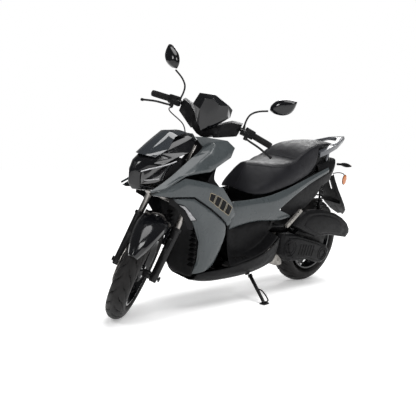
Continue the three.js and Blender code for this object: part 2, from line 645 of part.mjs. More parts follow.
function bellyPan() {
  const rows = [
    [[0, -364, 176], [70, -364, 176], [104, -364, 190], [120, -364, 210], [128, -362, 224]],
    [[0, -330, 168], [76, -330, 168], [120, -330, 188], [146, -322, 216], [156, -312, 240]],
    [[0, -240, 146], [80, -240, 146], [130, -240, 170], [164, -240, 206], [180, -236, 246]],
    [[0, -60, 148], [82, -60, 148], [136, -60, 172], [180, -60, 214], [198, -60, 272]],
    [[0, 60, 158], [84, 60, 158], [138, 60, 182], [182, 60, 232], [198, 60, 300]],
    [[0, 140, 170], [88, 140, 170], [138, 145, 200], [178, 150, 264], [192, 150, 346]],
    [[58, 200, 186], [96, 205, 190], [134, 222, 222], [168, 214, 300], [184, 194, 384]]];
  const full = rows.slice(0, -1).map(whole);
  const wing = (turn) => [rows[5].slice(1), rows[6].slice(1)].map((r) => r.map(turn));
  return panel([backwards(full), backwards(wing((p) => p)), wing(flip)])
    .subtract(box([96, 64, 165], [24, 40, 60]));
}

function tailCover() {
  const side = [
    [[138, 214, 588], [144, 214, 566], [146, 214, 548], [143, 214, 530]],
    [[136, 281, 650], [146, 281, 600], [146, 281, 545], [138, 281, 492]],
    [[130, 349, 686], [144, 349, 636], [141, 349, 565], [131, 349, 494]],
    [[124, 450, 718], [138, 450, 670], [132, 450, 590], [120, 450, 520]],
    [[120, 550, 740], [134, 550, 704], [131, 550, 650], [125, 550, 593]],
    [[118, 585, 746], [132, 585, 714], [130, 585, 690], [127, 585, 653]],
    [[104, 690, 770], [114, 690, 742], [112, 690, 710], [106, 690, 680]],
    [[74, 770, 792], [78, 770, 768], [72, 770, 742], [64, 770, 716]],
    [[38, 818, 798], [40, 820, 776], [38, 822, 752], [34, 822, 728]]];
  const crown = [
    [[0, 550, 792], [70, 550, 790], [110, 550, 772]],
    [[0, 585, 800], [66, 585, 798], [106, 585, 780]],
    [[0, 690, 812], [60, 690, 810], [92, 690, 796]],
    [[0, 770, 812], [48, 770, 811], [68, 770, 804]],
    [[0, 818, 806], [26, 818, 805], [35, 818, 802]]];
  const roof = crown.map((row, i) => [...row, side[i + 4][0]]);
  return panel([backwards(side), side.map((row) => row.map(flip)), backwards(roof.map(whole))]);
}

function tailLight() {
  return loft([
    [[-32, 824, 730], [32, 824, 730], [36, 824, 798], [-36, 824, 798]],
    [[-22, 838, 738], [22, 838, 738], [26, 836, 790], [-26, 836, 790]]]);
}

function grabRail() {
  const half = [
    [[0, 936, 949], [0, 838, 940], [0, 838, 918], [0, 926, 922]],
    [[54, 866, 938], [34, 815, 938], [34, 815, 918], [52, 856, 914]],
    [[100, 742, 908], [70, 738, 914], [70, 738, 892], [96, 740, 880]],
    [[114, 640, 880], [82, 640, 886], [82, 640, 862], [110, 640, 850]],
    [[114, 552, 858], [84, 556, 864], [84, 560, 838], [110, 558, 828]]];
  let body = loft([...half.slice(1).reverse().map((l) => l.map(flip)), ...half]);
  const post = (s) => bar([s * 94, 662, 870], [s * 82, 662, 806], 9, 9, 10);
  body = join(body, post(1), post(-1));
  for (const y of [625, 700])
    for (const s of [-1, 1])
      body = body.subtract(box([s * (y > 650 ? 90 : 97), y, 880], [14, 12, 90]));
  return body;
}

function plateHolder() {
  const line = [
    [72, 770, 700], [78, 790, 660], [84, 830, 600], [84, 880, 545], [78, 930, 495],
    [60, 985, 450], [22, 1032, 418]];
  const rows = line.map(([x, y, z]) => whole([
    [0, y + 8, z + 6], [x * 0.9, y, z], [x, y + 14, z + 12]]));
  let body = panel([rows].map(backwards), 5);
  const bracket = box([0, 902, 532], [150, 8, 40]);
  const arm = join(box([0, 770, 712], [90, 24, 20]), bracket);
  for (const s of [-1, 1]) body = body.subtract(box([s * 38, 812, 640], [14, 90, 60]));
  return join(body, arm);
}

function rearIndicator() {
  const [y, z] = [840, 778];
  const leaf = (x, h, d) => [[x, y - d, z], [x, y, z + h], [x, y + d, z], [x, y, z - h]];
  return join(
    bar([56, 820, 775], [82, 836, z], 8, 7, 10),
    loft([leaf(72, 6, 8), leaf(92, 14, 15), leaf(120, 15, 16), leaf(142, 9, 11), leaf(154, 3, 4)]));
}

// ---- Engine, transmission and rear suspension ---------------------------------------------------
const SHOCK_TOP = [96, 616, 704];
const SHOCK_FOOT = [96, 664, 352];
const shockAt = (t) => SHOCK_TOP.map((v, i) => v + (SHOCK_FOOT[i] - v) * t);

function engineCase() {
  const [, pivotY, pivotZ] = ENGINE_PIVOT;
  const acrossPivot = (half, r) => bar([-half, pivotY, pivotZ], [half, pivotY, pivotZ], r, r, 14);
  const crank = bar([-92, 300, 290], [92, 300, 290], 88, 88, 22);
  const barrel = bar([0, 300, 300], [0, 168, 322], 56, 50, 16);
  const sump = box([0, 318, 226], [120, 140, 60]);
  const gearOutline = [
    [300, 205], [300, 372], [424, 372], [640, 330], [726, 290], [728, 226], [668, 196], [520, 214]];
  const gear = sideSlab(gearOutline, 76, 117);
  const axle = bar([-40, REAR_Y, REAR_TYRE.radius], [80, REAR_Y, REAR_TYRE.radius], 15.6);
  const shockLug = box([96, 664, 334], [17, 34, 36]);
  const intakeLug = box([94, 420, 372], [28, 50, 40]);
  const standLug = sideSlab([[201, 208], [284, 262], [330, 230], [352, 176], [300, 168]], 84, 100);
  const bore = acrossPivot(63, PIVOT_BORE);
  const hanger = join(box([0, 240, 330], [60, 60, 40]), acrossPivot(40, 24));
  return join(crank, barrel, sump, gear, axle, shockLug, intakeLug, standLug)
    .subtract(acrossPivot(63, 30))
    .add(hanger)
    .subtract(bore);
}

function cvtCover() {
  const outline = [
    [226, 359], [233, 396], [330, 384], [424, 362], [530, 332], [634, 304], [706, 272], [739, 238],
    [718, 184], [668, 158], [600, 174], [529, 200], [430, 206], [319, 214], [258, 262], [236, 318]];
  const [midY, midZ] = [480, 284];
  const at = (x, k) => outline.map(([y, z]) => [x, midY + (y - midY) * k, midZ + (z - midZ) * k]);
  return loft([at(117.4, 1), at(138, 1), at(160, 0.96), at(170, 0.86)]);
}

function airBox() {
  const outline = [
    [312, 440], [346, 492], [395, 518], [480, 521], [564, 516], [640, 502], [718, 484], [800, 450],
    [858, 414], [896, 372], [902, 344], [872, 314], [780, 330], [666, 350], [600, 350], [541, 350],
    [470, 374], [390, 405]];
  const [midY, midZ] = [606, 420];
  const at = (x, k) => outline.map(([y, z]) => [x, midY + (y - midY) * k, midZ + (z - midZ) * k]);
  const snout = bar([112, 420, 430], [146, 420, 430], 20, 20, 12);
  return loft([at(142, 0.94), at(146, 0.99), at(170, 1), at(184, 0.95), at(191, 0.84)]).add(snout);
}

function exhaust() {
  const canX = -152;
  const canStart = 430;
  const canRise = 0.3;
  const can = loft([[canStart, 34], [452, 50], [840, 56], [868, 40]].map(([y, r]) =>
    Array.from({ length: 16 }, (_, k) => {
      const a = (2 * Math.PI * k) / 16;
      const z = 252 + (y - canStart) * canRise + r * Math.sin(a);
      return [canX + r * 0.86 * Math.cos(a), y, z];
    })));
  const pipe = rod([
    [-24, 180, 262], [-52, 186, 206], [-84, 270, 172], [-124, 352, 192], [-150, 414, 244],
    [canX, 444, 258]], 15, 10, 16);
  const outlet = bar([canX, 850, 372], [canX, 884, 384], 14, 14, 12);
  const outletBore = bar([canX, 860, 376], [canX, 890, 386], 11, 11, 12);
  const strap = join(box([-108, 470, 300], [34, 30, 12]), box([-98, 420, 300], [11, 120, 12]));
  return join(can, pipe, outlet, strap).subtract(outletBore);
}

function shockUpper() {
  const [, topY, topZ] = SHOCK_TOP;
  const cup = bar(shockAt(0.034), shockAt(0.14), 23, 23, 14);
  const piston = bar(shockAt(0.1), shockAt(0.6), 6.5, 6.5, 12);
  const eye = bar([86, topY, topZ], [103, topY, topZ], 15, 15, 14);
  return join(cup, piston, eye).subtract(bar([70, topY, topZ], [120, topY, topZ], 6.6, 6.6, 16));
}

function shockLower() {
  const damper = bar(shockAt(0.42), shockAt(0.9), 14, 14, 14);
  const seatRing = bar(shockAt(0.8), shockAt(0.85), 22, 22, 14);
  const foot = bar(shockAt(0.88), shockAt(0.93), 11, 11, 12);
  return join(damper, seatRing, foot).subtract(bar(shockAt(0.4), shockAt(0.79), 7.2, 7.2, 12));
}

function shockSpring() {
  return bar(shockAt(0.145), shockAt(0.795), 22, 22, 18)
    .subtract(bar(shockAt(0.1), shockAt(0.85), 17, 17, 18));
}

// ---- Stand, seat, pegs and buttons --------------------------------------------------------------
const STAND_PIVOT = [112, 66, 150];
const STAND_FOOT = [294, 4, 60.6];
const STAND_PAD = [296, 4, 60];

function sideStand() {
  const leg = bar(STAND_PIVOT, STAND_FOOT, 11, 9, 12);
  const [x, y, z] = STAND_PIVOT;
  const eye = bar([x - 4, y, z + 4], [x + 6, y, z - 6], 14, 14, 12);
  const pad = moved(box([0, 0, 0], [36, 44, 6]),
    new THREE.Matrix4().makeRotationY(-LEAN).setPosition(...STAND_PAD));
  const loop = rod([
    [205, 36, 104], [214, 60, 98], [250, 58, 82], [286, 44, 65], [290, 16, 63]], 4.5, 8, 16);
  return join(leg, eye, pad, loop);
}

function seat() {
  const rows = [
    [[0, -80, 655], [36, -80, 655], [40, -74, 664], [26, 4, 782], [0, 6, 788]],
    [[0, -50, 650], [96, -48, 636], [106, -40, 654], [46, 32, 784], [0, 34, 792]],
    [[0, 0, 646], [128, 0, 625], [138, 6, 654], [64, 72, 786], [0, 74, 794]],
    [[0, 70, 646], [145, 70, 629], [156, 74, 674], [98, 124, 788], [0, 128, 794]],
    [[0, 170, 658], [150, 170, 652], [162, 172, 702], [130, 182, 788], [0, 180, 793]],
    [[0, 270, 676], [150, 270, 676], [160, 274, 720], [140, 284, 800], [0, 282, 806]],
    [[0, 330, 694], [147, 330, 694], [156, 334, 742], [136, 342, 842], [0, 340, 856]],
    [[0, 420, 722], [136, 420, 722], [146, 424, 774], [128, 430, 884], [0, 428, 902]],
    [[0, 520, 756], [118, 520, 756], [126, 522, 800], [110, 526, 900], [0, 524, 924]],
    [[0, 546, 870], [80, 546, 870], [96, 548, 888], [96, 552, 904], [0, 550, 927]],
    [[0, 640, 874], [70, 640, 874], [80, 642, 894], [78, 644, 908], [0, 642, 924]],
    [[0, 740, 880], [52, 740, 880], [60, 742, 896], [58, 742, 904], [0, 740, 914]],
    [[0, 790, 890], [24, 790, 890], [28, 790, 895], [24, 790, 899], [0, 790, 903]]];
  return loft(rows.map(ring));
}

function peg() {
  return loft([
    [[178, 226, 452], [198, 226, 452], [198, 236, 436], [178, 236, 436]],
    [[178, 340, 540], [198, 340, 540], [198, 354, 528], [178, 354, 528]]]);
}

function caliper() {
  const lug = box([-93, 12, 92], [18, 36, 60]);
  const discSlot = box([-74, 34, 84], [9, 50, 76]);
  return onFork(join(lug, box([-77, 34, 96], [46, 44, 62]).subtract(discSlot)));
}

function brakeDisc() {
  const disc = turned([[-72, 46], [-72, 108], [-76, 108], [-76, 46]], FRONT_AXLE, 28);
  const carrier = turned([
    [-42, 14], [-42, 30], [-72, 50], [-76, 50], [-76, 42], [-48, 24], [-48, 14]], FRONT_AXLE, 20);
  return disc.add(carrier);
}

// A knob on the rider's face of a switch housing. Its stem stands in a pocket of the housing.
const KNOBS = { horn_button: [-40, 1, 6], turn_switch: [-20, 1, 5], start_button: [-30, -1, 6] };
const KNOB_TRAVEL = 2.5;

function knobBar([t, sign, r], inner, spread) {
  const [x, y, z] = onGrip(t);
  return bar([sign * x, y + inner, z], [sign * x, y + 33, z], r + spread, r + spread, 14);
}
const knob = (spec) => knobBar(spec, 20, 0);
const knobPocket = (spec) => knobBar(spec, 20 - KNOB_TRAVEL - CLEAR, 0.5);

// ---- The scooter, piece by piece ----------------------------------------------------------------
place("main_frame", mainFrame(), SATIN_BLACK);
placePair("apron", apron(), GREY_PAINT);
placePair("shoulder", shoulder(), GREY_PAINT);
place("nose_cover", noseCover(), GLOSS_BLACK);
place("headlight_unit", headlightUnit(), LENS);
place("windscreen", windscreen(), SMOKED);
place("inner_shield", innerShield(), SATIN_BLACK);
place("floor_tunnel", floorTunnel(), SATIN_BLACK);
placePair("side_body", sideBody(), GREY_PAINT);
place("belly_pan", bellyPan(), SATIN_BLACK);
place("tail_cover", tailCover(), SATIN_BLACK);
place("tail_light", tailLight(), RED_LENS);
place("grab_rail", grabRail(), ALLOY);
place("plate_holder", plateHolder(), SATIN_BLACK);
placePair("rear_indicator", rearIndicator(), SATIN_BLACK);
place("fuel_tank", fuelTank(), SATIN_BLACK);
place("storage_bin", storageBin(), SATIN_BLACK);

place("steering_stem", steeringStem(), STEEL, steered);
place("handlebar", handlebar(), SATIN_BLACK, steered);
place("left_grip", grip(), RUBBER, steered);
place("throttle_grip", flipPart(grip()), RUBBER, steered);
const { horn_button, turn_switch, start_button } = KNOBS;
place("left_switch", switchHousing().subtract(knobPocket(horn_button)).subtract(knobPocket(turn_switch)),
  SATIN_BLACK, steered);
place("right_switch", flipPart(switchHousing()).subtract(knobPocket(start_button)), SATIN_BLACK, steered);
placePair("lever", lever(), SATIN_BLACK, steered);
place("bar_cover", barCover(), SATIN_BLACK, steered);
place("dash", dash(), GLOSS_BLACK, steered);
placePair("mirror_stalk", mirrorStalk(), SATIN_BLACK, steered);
place("mirror_left", mirrorHead(), SATIN_BLACK, steered);
place("mirror_right", toedIn(flipPart(mirrorHead())), SATIN_BLACK, steered);
place("brake_hose", brakeHose(), RUBBER, steered);
for (const [name, spec] of Object.entries(KNOBS)) place(name, knob(spec), SATIN_BLACK, steered);

place("slider_left", slider(1), SATIN_BLACK, steered);
place("slider_right", slider(-1), SATIN_BLACK, steered);
place("front_mudguard", frontMudguard(), GLOSS_BLACK, steered);
place("front_axle", frontAxle(), STEEL, steered);
place("front_caliper", caliper(), ALLOY, steered);
place("front_rim", rim(FRONT_TYRE, FRONT_AXLE, 40, 8.6, 5), GLOSS_BLACK, steered);
place("front_tyre", tyre(FRONT_TYRE, FRONT_AXLE), TREAD, steered);
place("front_disc", brakeDisc(), STEEL, steered);

place("engine_case", engineCase(), ALLOY);
place("cvt_cover", cvtCover(), SATIN_BLACK);
place("air_box", airBox(), SATIN_BLACK);
place("exhaust", exhaust(), SATIN_BLACK);
place("rear_rim", rim(REAR_TYRE, REAR_AXLE, 38, 16.4, 5), GLOSS_BLACK);
place("rear_tyre", tyre(REAR_TYRE, REAR_AXLE), TREAD);
place("shock_upper", shockUpper(), STEEL);
place("shock_lower", shockLower(), STEEL);
place("shock_spring", shockSpring(), STEEL);
place("side_stand", sideStand(), SATIN_BLACK);
place("seat", seat(), VINYL);
placePair("peg", peg(), ALLOY);

export default resting;
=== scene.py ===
"""A sports step-through scooter on its side stand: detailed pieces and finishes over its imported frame."""
import contextlib
import json
import math

import bpy
from mathutils import Matrix, Vector

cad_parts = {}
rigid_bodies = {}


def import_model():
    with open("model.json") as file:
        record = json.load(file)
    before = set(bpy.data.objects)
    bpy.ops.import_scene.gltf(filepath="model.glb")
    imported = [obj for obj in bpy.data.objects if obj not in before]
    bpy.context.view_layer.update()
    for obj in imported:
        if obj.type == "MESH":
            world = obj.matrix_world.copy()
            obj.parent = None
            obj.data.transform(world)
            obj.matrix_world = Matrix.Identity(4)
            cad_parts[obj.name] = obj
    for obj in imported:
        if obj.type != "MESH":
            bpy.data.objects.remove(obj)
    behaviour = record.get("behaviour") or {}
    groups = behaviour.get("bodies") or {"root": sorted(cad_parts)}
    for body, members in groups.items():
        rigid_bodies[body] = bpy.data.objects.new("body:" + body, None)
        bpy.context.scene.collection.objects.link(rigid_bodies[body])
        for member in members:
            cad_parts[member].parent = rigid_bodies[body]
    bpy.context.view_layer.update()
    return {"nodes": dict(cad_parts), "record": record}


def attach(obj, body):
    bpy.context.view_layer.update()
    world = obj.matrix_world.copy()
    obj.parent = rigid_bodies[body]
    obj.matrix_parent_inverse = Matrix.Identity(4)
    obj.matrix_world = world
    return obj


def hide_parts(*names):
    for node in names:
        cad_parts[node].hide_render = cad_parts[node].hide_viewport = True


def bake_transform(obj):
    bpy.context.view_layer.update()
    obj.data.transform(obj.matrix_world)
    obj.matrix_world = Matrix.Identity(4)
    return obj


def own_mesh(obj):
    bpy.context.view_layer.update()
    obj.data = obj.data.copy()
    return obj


bl_info = {
    "name": "Step-through Scooter",
    "version": (1, 0, 0),
    "blender": (4, 5, 0),
    "location": "3D View > Sidebar > Scooter",
    "description": "Builds the scooter's tyres, panels, lamps, seat, controls and finishes over its frame",
    "category": "Add Mesh",
}

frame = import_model()

# ---- How the scooter stands ----
# Places are given in millimetres on the upright scooter: nose towards -Y, left towards +X, and the
# ground at z = 0. These turn them into the frame, where it leans on its stand with the bars turned.
LEAN = math.radians(9.4)
PITCH = math.radians(0.508)
STEER = math.radians(42)
RAKE = math.radians(26)
TRAIL_FOOT = Vector((0, -779, 0))
GROUND_SHIFT = Vector((-169.4, -75.8, -4.4))
MM = 0.001
STEER_AXIS = Vector((0, math.sin(RAKE), math.cos(RAKE)))
UPRIGHT = (Matrix.Scale(MM, 4) @ Matrix.Translation(GROUND_SHIFT)
           @ Matrix.Rotation(PITCH, 4, "X") @ Matrix.Rotation(LEAN, 4, "Y"))
STEERED = (UPRIGHT @ Matrix.Translation(TRAIL_FOOT) @ Matrix.Rotation(STEER, 4, STEER_AXIS)
           @ Matrix.Translation(-TRAIL_FOOT))
FORK = STEERED @ Matrix.Translation((0, -654.6, 255.05)) @ Matrix.Rotation(-RAKE, 4, "X")

BODY_OF = {node: body for body, nodes in frame["record"]["behaviour"]["bodies"].items() for node in nodes}
SLOT_OF = {part["node"]: part["material_slot"] for part in frame["record"]["subparts"]}


# ---- Finishes ----
COAT_ROUGHNESS = 0.04
NOISE_FROM, NOISE_TO = 0.3, 0.7    # a noise keeps between these, most of the time


def shader_of(material):
    """The material's own shader."""
    return material.node_tree.nodes["Principled BSDF"]


def plain(name, colour, roughness, metallic=0.0, coat=0.0, specular=0.5):
    """A material with its constants on the shader, ready for its detail."""
    material = bpy.data.materials.new(f"scooter_{name}")
    material.use_nodes = True
    for socket, value in (("Base Color", (*colour[:3], 1)), ("Roughness", roughness),
                          ("Metallic", metallic), ("Coat Weight", coat),
                          ("Coat Roughness", COAT_ROUGHNESS), ("Specular IOR Level", specular)):
        shader_of(material).inputs[socket].default_value = value
    return material


def grain(material, scale, detail=4.0, stretch=(1, 1, 1)):
    """Noise in the piece's own space, at so many waves per metre."""
    tree = material.node_tree
    place = tree.nodes.new("ShaderNodeTexCoord")
    mapping = tree.nodes.new("ShaderNodeMapping")
    mapping.inputs["Scale"].default_value = stretch
    noise = tree.nodes.new("ShaderNodeTexNoise")
    noise.inputs["Scale"].default_value = scale
    noise.inputs["Detail"].default_value = detail
    tree.links.new(place.outputs["Object"], mapping.inputs["Vector"])
    tree.links.new(mapping.outputs["Vector"], noise.inputs["Vector"])
    return noise.outputs["Fac"]


def cells(material, scale):
    """The pebbled grain of pressed vinyl: distance to the nearest cell edge."""
    tree = material.node_tree
    place = tree.nodes.new("ShaderNodeTexCoord")
    voronoi = tree.nodes.new("ShaderNodeTexVoronoi")
    voronoi.feature = "DISTANCE_TO_EDGE"
    voronoi.inputs["Scale"].default_value = scale
    tree.links.new(place.outputs["Object"], voronoi.inputs["Vector"])
    return voronoi.outputs["Distance"]


def shaded(colour, factor):
    """The colour made lighter or darker."""
    return tuple(c * factor for c in colour[:3])


def tinted(material, source, colour, dark, light, low=NOISE_FROM, high=NOISE_TO):
    """Base colour runs from a dark to a light shade of the colour with the source."""
    tree = material.node_tree
    ramp = tree.nodes.new("ShaderNodeValToRGB")
    for stop, place, factor in zip(ramp.color_ramp.elements, (low, high), (dark, light)):
        stop.position = place
        stop.color = (*shaded(colour, factor), 1)
    tree.links.new(source, ramp.inputs["Fac"])
    tree.links.new(ramp.outputs["Color"], shader_of(material).inputs["Base Color"])
    return material


def worn(material, source, smooth, rough):
    """Roughness runs from smooth to rough with the source."""
    tree = material.node_tree
    spread = tree.nodes.new("ShaderNodeMapRange")
    for socket, value in (("From Min", NOISE_FROM), ("From Max", NOISE_TO),
                          ("To Min", smooth), ("To Max", rough)):
        spread.inputs[socket].default_value = value
    tree.links.new(source, spread.inputs["Value"])
    tree.links.new(spread.outputs["Result"], shader_of(material).inputs["Roughness"])
    return material


def embossed(material, source, strength, depth):
    """The source stands up from the surface by about depth metres."""
    tree = material.node_tree
    bump = tree.nodes.new("ShaderNodeBump")
    bump.inputs["Strength"].default_value = strength
    bump.inputs["Distance"].default_value = depth
    tree.links.new(source, bump.inputs["Height"])
    tree.links.new(bump.outputs["Normal"], shader_of(material).inputs["Normal"])
    return material


def grey_paint(colours):
    """Solid grey lacquer: faint orange peel under a deep clear coat."""
    base = colours.paint
    material = plain("grey_paint", base, 0.3, coat=0.3, specular=0.25)
    tinted(material, grain(material, 9), base, 0.93, 1.06)
    worn(material, grain(material, 30), 0.24, 0.36)
    return embossed(material, grain(material, 160, 1), 0.02, 0.0004)


def gloss_black(colours):
    """Polished black moulding with hairline polishing haze."""
    material = plain("gloss_black", colours.gloss, 0.12, coat=0.3, specular=0.3)
    tinted(material, grain(material, 6), colours.gloss, 0.7, 1.4)
    worn(material, grain(material, 55), 0.07, 0.17)
    return embossed(material, grain(material, 300, 2), 0.03, 0.0004)


def smoke(colours):
    """Smoked acrylic."""
    material = plain("smoke", colours.smoke, 0.06, coat=1.0)
    tinted(material, grain(material, 4), colours.smoke, 0.75, 1.3)
    worn(material, grain(material, 40), 0.04, 0.1)
    return material


def black_plastic(colours):
    """Grained black moulding, a little chalky on its high grain."""
    material = plain("black_plastic", colours.plastic, 0.5, specular=0.09)
    tinted(material, grain(material, 26), colours.plastic, 0.75, 1.35)
    worn(material, grain(material, 60), 0.38, 0.56)
    return embossed(material, grain(material, 900, 3), 0.35, 0.0004)


def frame_black(colours):
    """Semi-gloss powder coat on steel."""
    material = plain("frame_black", colours.plastic, 0.34, coat=0.06, specular=0.2)
    tinted(material, grain(material, 30), colours.plastic, 0.6, 1.2)
    worn(material, grain(material, 120), 0.26, 0.44)
    return embossed(material, grain(material, 700, 2), 0.14, 0.0004)


def rubber(colours):
    """Moulded rubber with a dusty bloom."""
    material = plain("rubber", colours.rubber, 0.7, specular=0.1)
    tinted(material, grain(material, 45), colours.rubber, 0.7, 1.5)
    return embossed(material, grain(material, 1100, 2), 0.4, 0.0003)


def tread(colours):
    """Tyre rubber, paler than the painted shade that darkens its grooves."""
    material = plain("tread", colours.rubber, 0.5, specular=0.14)
    tinted(material, grain(material, 22), colours.rubber, 0.7, 1.4)
    worn(material, grain(material, 80), 0.42, 0.62)
    return embossed(material, grain(material, 800, 3), 0.3, 0.0005)


def groove(colours):
    """The bottom of a tyre's grooves: rubber darkened as a painted shade, and dull."""
    material = plain("groove", shaded(colours.rubber, 0.35), 0.95, specular=0.05)
    return tinted(material, grain(material, 60), colours.rubber, 0.2, 0.5)


def steel(colours):
    """Turned steel with fine machining lines."""
    material = plain("steel", colours.steel, 0.25, metallic=1.0)
    tinted(material, grain(material, 35), colours.steel, 0.8, 1.1)
    worn(material, grain(material, 220, 3, (1, 1, 9)), 0.16, 0.38)
    return material


def alloy(colours):
    """Cast aluminium with a sandy skin."""
    material = plain("alloy", colours.alloy, 0.45, metallic=0.85)
    tinted(material, grain(material, 40), colours.alloy, 0.62, 1.1)
    worn(material, grain(material, 90), 0.36, 0.58)
    return embossed(material, grain(material, 650, 3), 0.3, 0.0006)


def rail_grey(colours):
    """Silver-grey lacquer on the cast rail."""
    material = plain("rail_grey", colours.rail, 0.34, metallic=0.25, coat=0.3)
    tinted(material, grain(material, 500, 2), colours.rail, 0.85, 1.15)
    return worn(material, grain(material, 50), 0.24, 0.36)


def lens(colours):
    """Clear lamp cover over a dark housing, with fluted optics."""
    material = plain("lens", colours.lens, 0.05, coat=1.0)
    tinted(material, grain(material, 30, 2, (1, 1, 3)), colours.lens, 0.5, 1.3)
    return embossed(material, grain(material, 120, 1, (1, 1, 4)), 0.12, 0.001)


def blade(colours):
    """Frosted light guide, unlit."""
    material = plain("blade", colours.blade, 0.3, coat=0.3)
    tinted(material, grain(material, 70), colours.blade, 0.75, 1.2)
    return embossed(material, cells(material, 500), 0.2, 0.0005)


def red_lens(colours):
    """Ruby lamp plastic with a prism pattern."""
    material = plain("red_lens", colours.red, 0.12, coat=1.0)
    tinted(material, cells(material, 330), colours.red, 0.5, 1.5, 0.0, 0.5)
    return embossed(material, cells(material, 330), 0.3, 0.0008)


def amber_lens(colours):
    """Amber reflector plastic with a prism pattern."""
    material = plain("amber_lens", colours.amber, 0.14, coat=1.0)
    tinted(material, cells(material, 420), colours.amber, 0.6, 1.2, 0.0, 0.5)
    return embossed(material, cells(material, 420), 0.3, 0.0008)


def vinyl(colours):
    """Pressed black vinyl with a pebble grain."""
    material = plain("vinyl", colours.vinyl, 0.48, specular=0.16)
    tinted(material, grain(material, 14), colours.vinyl, 0.8, 1.3)
    worn(material, grain(material, 35), 0.4, 0.56)
    return embossed(material, cells(material, 620), 0.4, 0.0006)


def mirror_glass(colours):
    """Silvered glass with the faintest smear."""
    material = plain("mirror_glass", colours.silver, 0.02, metallic=1.0)
    return worn(material, grain(material, 25), 0.01, 0.05)


def graphic_gold(colours):
    """Muted gold film."""
    material = plain("graphic_gold", colours.gold, 0.3, metallic=0.4, coat=0.6)
    return tinted(material, grain(material, 80), colours.gold, 0.8, 1.1)


FINISHES = {maker.__name__: maker for maker in (
    grey_paint, gloss_black, smoke, black_plastic, frame_black, rubber, tread, groove, steel, alloy,
    rail_grey, lens, blade, red_lens, amber_lens, vinyl, mirror_glass, graphic_gold)}


def finish(name):
    """The named finish, made the first time it is asked for."""
    found = bpy.data.materials.get(f"scooter_{name}")
    return found or FINISHES[name](bpy.context.scene.scooter_colours)


# ---- Shaping ----
WELD = 1e-5                         # metres
QUAD_LIMIT = math.radians(35)       # how far two triangles may bend and still join as a quad
FLAT = math.radians(1)


def deselect():
    """Nothing selected, and object mode."""
    if bpy.context.object and bpy.context.object.mode != "OBJECT":
        bpy.ops.object.mode_set(mode="OBJECT")
    bpy.ops.object.select_all(action="DESELECT")


def take(piece):
    """Only this piece selected and active."""
    deselect()
    piece.select_set(True)
    bpy.context.view_layer.objects.active = piece


@contextlib.contextmanager
def editing(piece):
    """Edit mode on this piece, with all of it selected."""
    take(piece)
    bpy.ops.object.mode_set(mode="EDIT")
    bpy.ops.mesh.select_all(action="SELECT")
    yield
    bpy.ops.object.mode_set(mode="OBJECT")


def added(name, data):
    """A new object in the scene, from its mesh or curve."""
    piece = bpy.data.objects.new(name, data)
    bpy.context.scene.collection.objects.link(piece)
    return piece


def rounded(piece, width, segments=1):
    """A bevel of so many millimetres on every hard edge, still to be applied."""
    rounding = piece.modifiers.new("Rounding", "BEVEL")
    rounding.width = width * MM
    rounding.segments = segments
    return rounding


def apply_all(piece):
    """Every modifier applied."""
    take(piece)
    for modifier in list(piece.modifiers):
        bpy.ops.object.modifier_apply(modifier=modifier.name)


def settle(piece, name, finish_name, body, smooth=40):
    """A finished new piece: at the origin, named, coated and riding on its body."""
    apply_all(piece)
    bpy.ops.object.transform_apply(location=True, rotation=True, scale=True)
    piece.name = name
    piece.data.materials.clear()
    piece.data.materials.append(finish(finish_name))
    bpy.ops.object.shade_smooth_by_angle(angle=math.radians(smooth))
    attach(piece, body)
    return piece


def outward(piece):
    """Doubles merged and faces turned outwards."""
    with editing(piece):
        bpy.ops.mesh.remove_doubles(threshold=WELD / 10)
        bpy.ops.mesh.normals_make_consistent(inside=False)


def copy_of(node):
    """A copy of a CAD node's mesh, its loose triangles welded."""
    piece = added(f"{node}_piece", frame["nodes"][node].data.copy())
    with editing(piece):
        bpy.ops.mesh.remove_doubles(threshold=WELD)
    return piece


def stand_in(piece, node, finish_name=None, smooth=40):
    """The piece takes the CAD node's place, body and slot."""
    settle(piece, f"{node}_piece", finish_name or SLOT_OF[node], BODY_OF[node], smooth)
    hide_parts(node)
    return piece


def moulded(node, finish_name=None, crease=30, levels=2, hold=0.85):
    """A panel: quads subdivided into a smooth skin, its hard lines kept by creases."""
    piece = copy_of(node)
    with editing(piece):
        bpy.ops.mesh.tris_convert_to_quads(face_threshold=QUAD_LIMIT, shape_threshold=QUAD_LIMIT)
        bpy.ops.mesh.select_all(action="DESELECT")
        bpy.ops.mesh.select_mode(type="EDGE")
        bpy.ops.mesh.edges_select_sharp(sharpness=math.radians(crease))
        bpy.ops.transform.edge_crease(value=hold)
        bpy.ops.mesh.select_mode(type="VERT")
    skin = piece.modifiers.new("Skin", "SUBSURF")
    skin.levels = levels
    skin.render_levels = levels
    return stand_in(piece, node, finish_name, 38)


def machined(node, finish_name=None, edge=1.2, steps=2, limit=28):
    """A cast or cut part: flat faces joined and every hard edge rounded."""
    piece = copy_of(node)
    with editing(piece):
        bpy.ops.mesh.dissolve_limited(angle_limit=FLAT)
    rounded(piece, edge, steps).angle_limit = math.radians(limit)
    return stand_in(piece, node, finish_name, 32)


def placed(matrix, point):
    """A point in millimetres on the scooter, as a place in the frame."""
    return matrix @ Vector(point)


def mirrored(point, side):
    """A point on the left side, or its image on the right."""
    return (side * point[0], point[1], point[2])


def laid(points, side=1):
    """Points on the upright scooter's left side, or their images on the right, in the frame."""
    return [placed(UPRIGHT, mirrored(point, side)) for point in points]


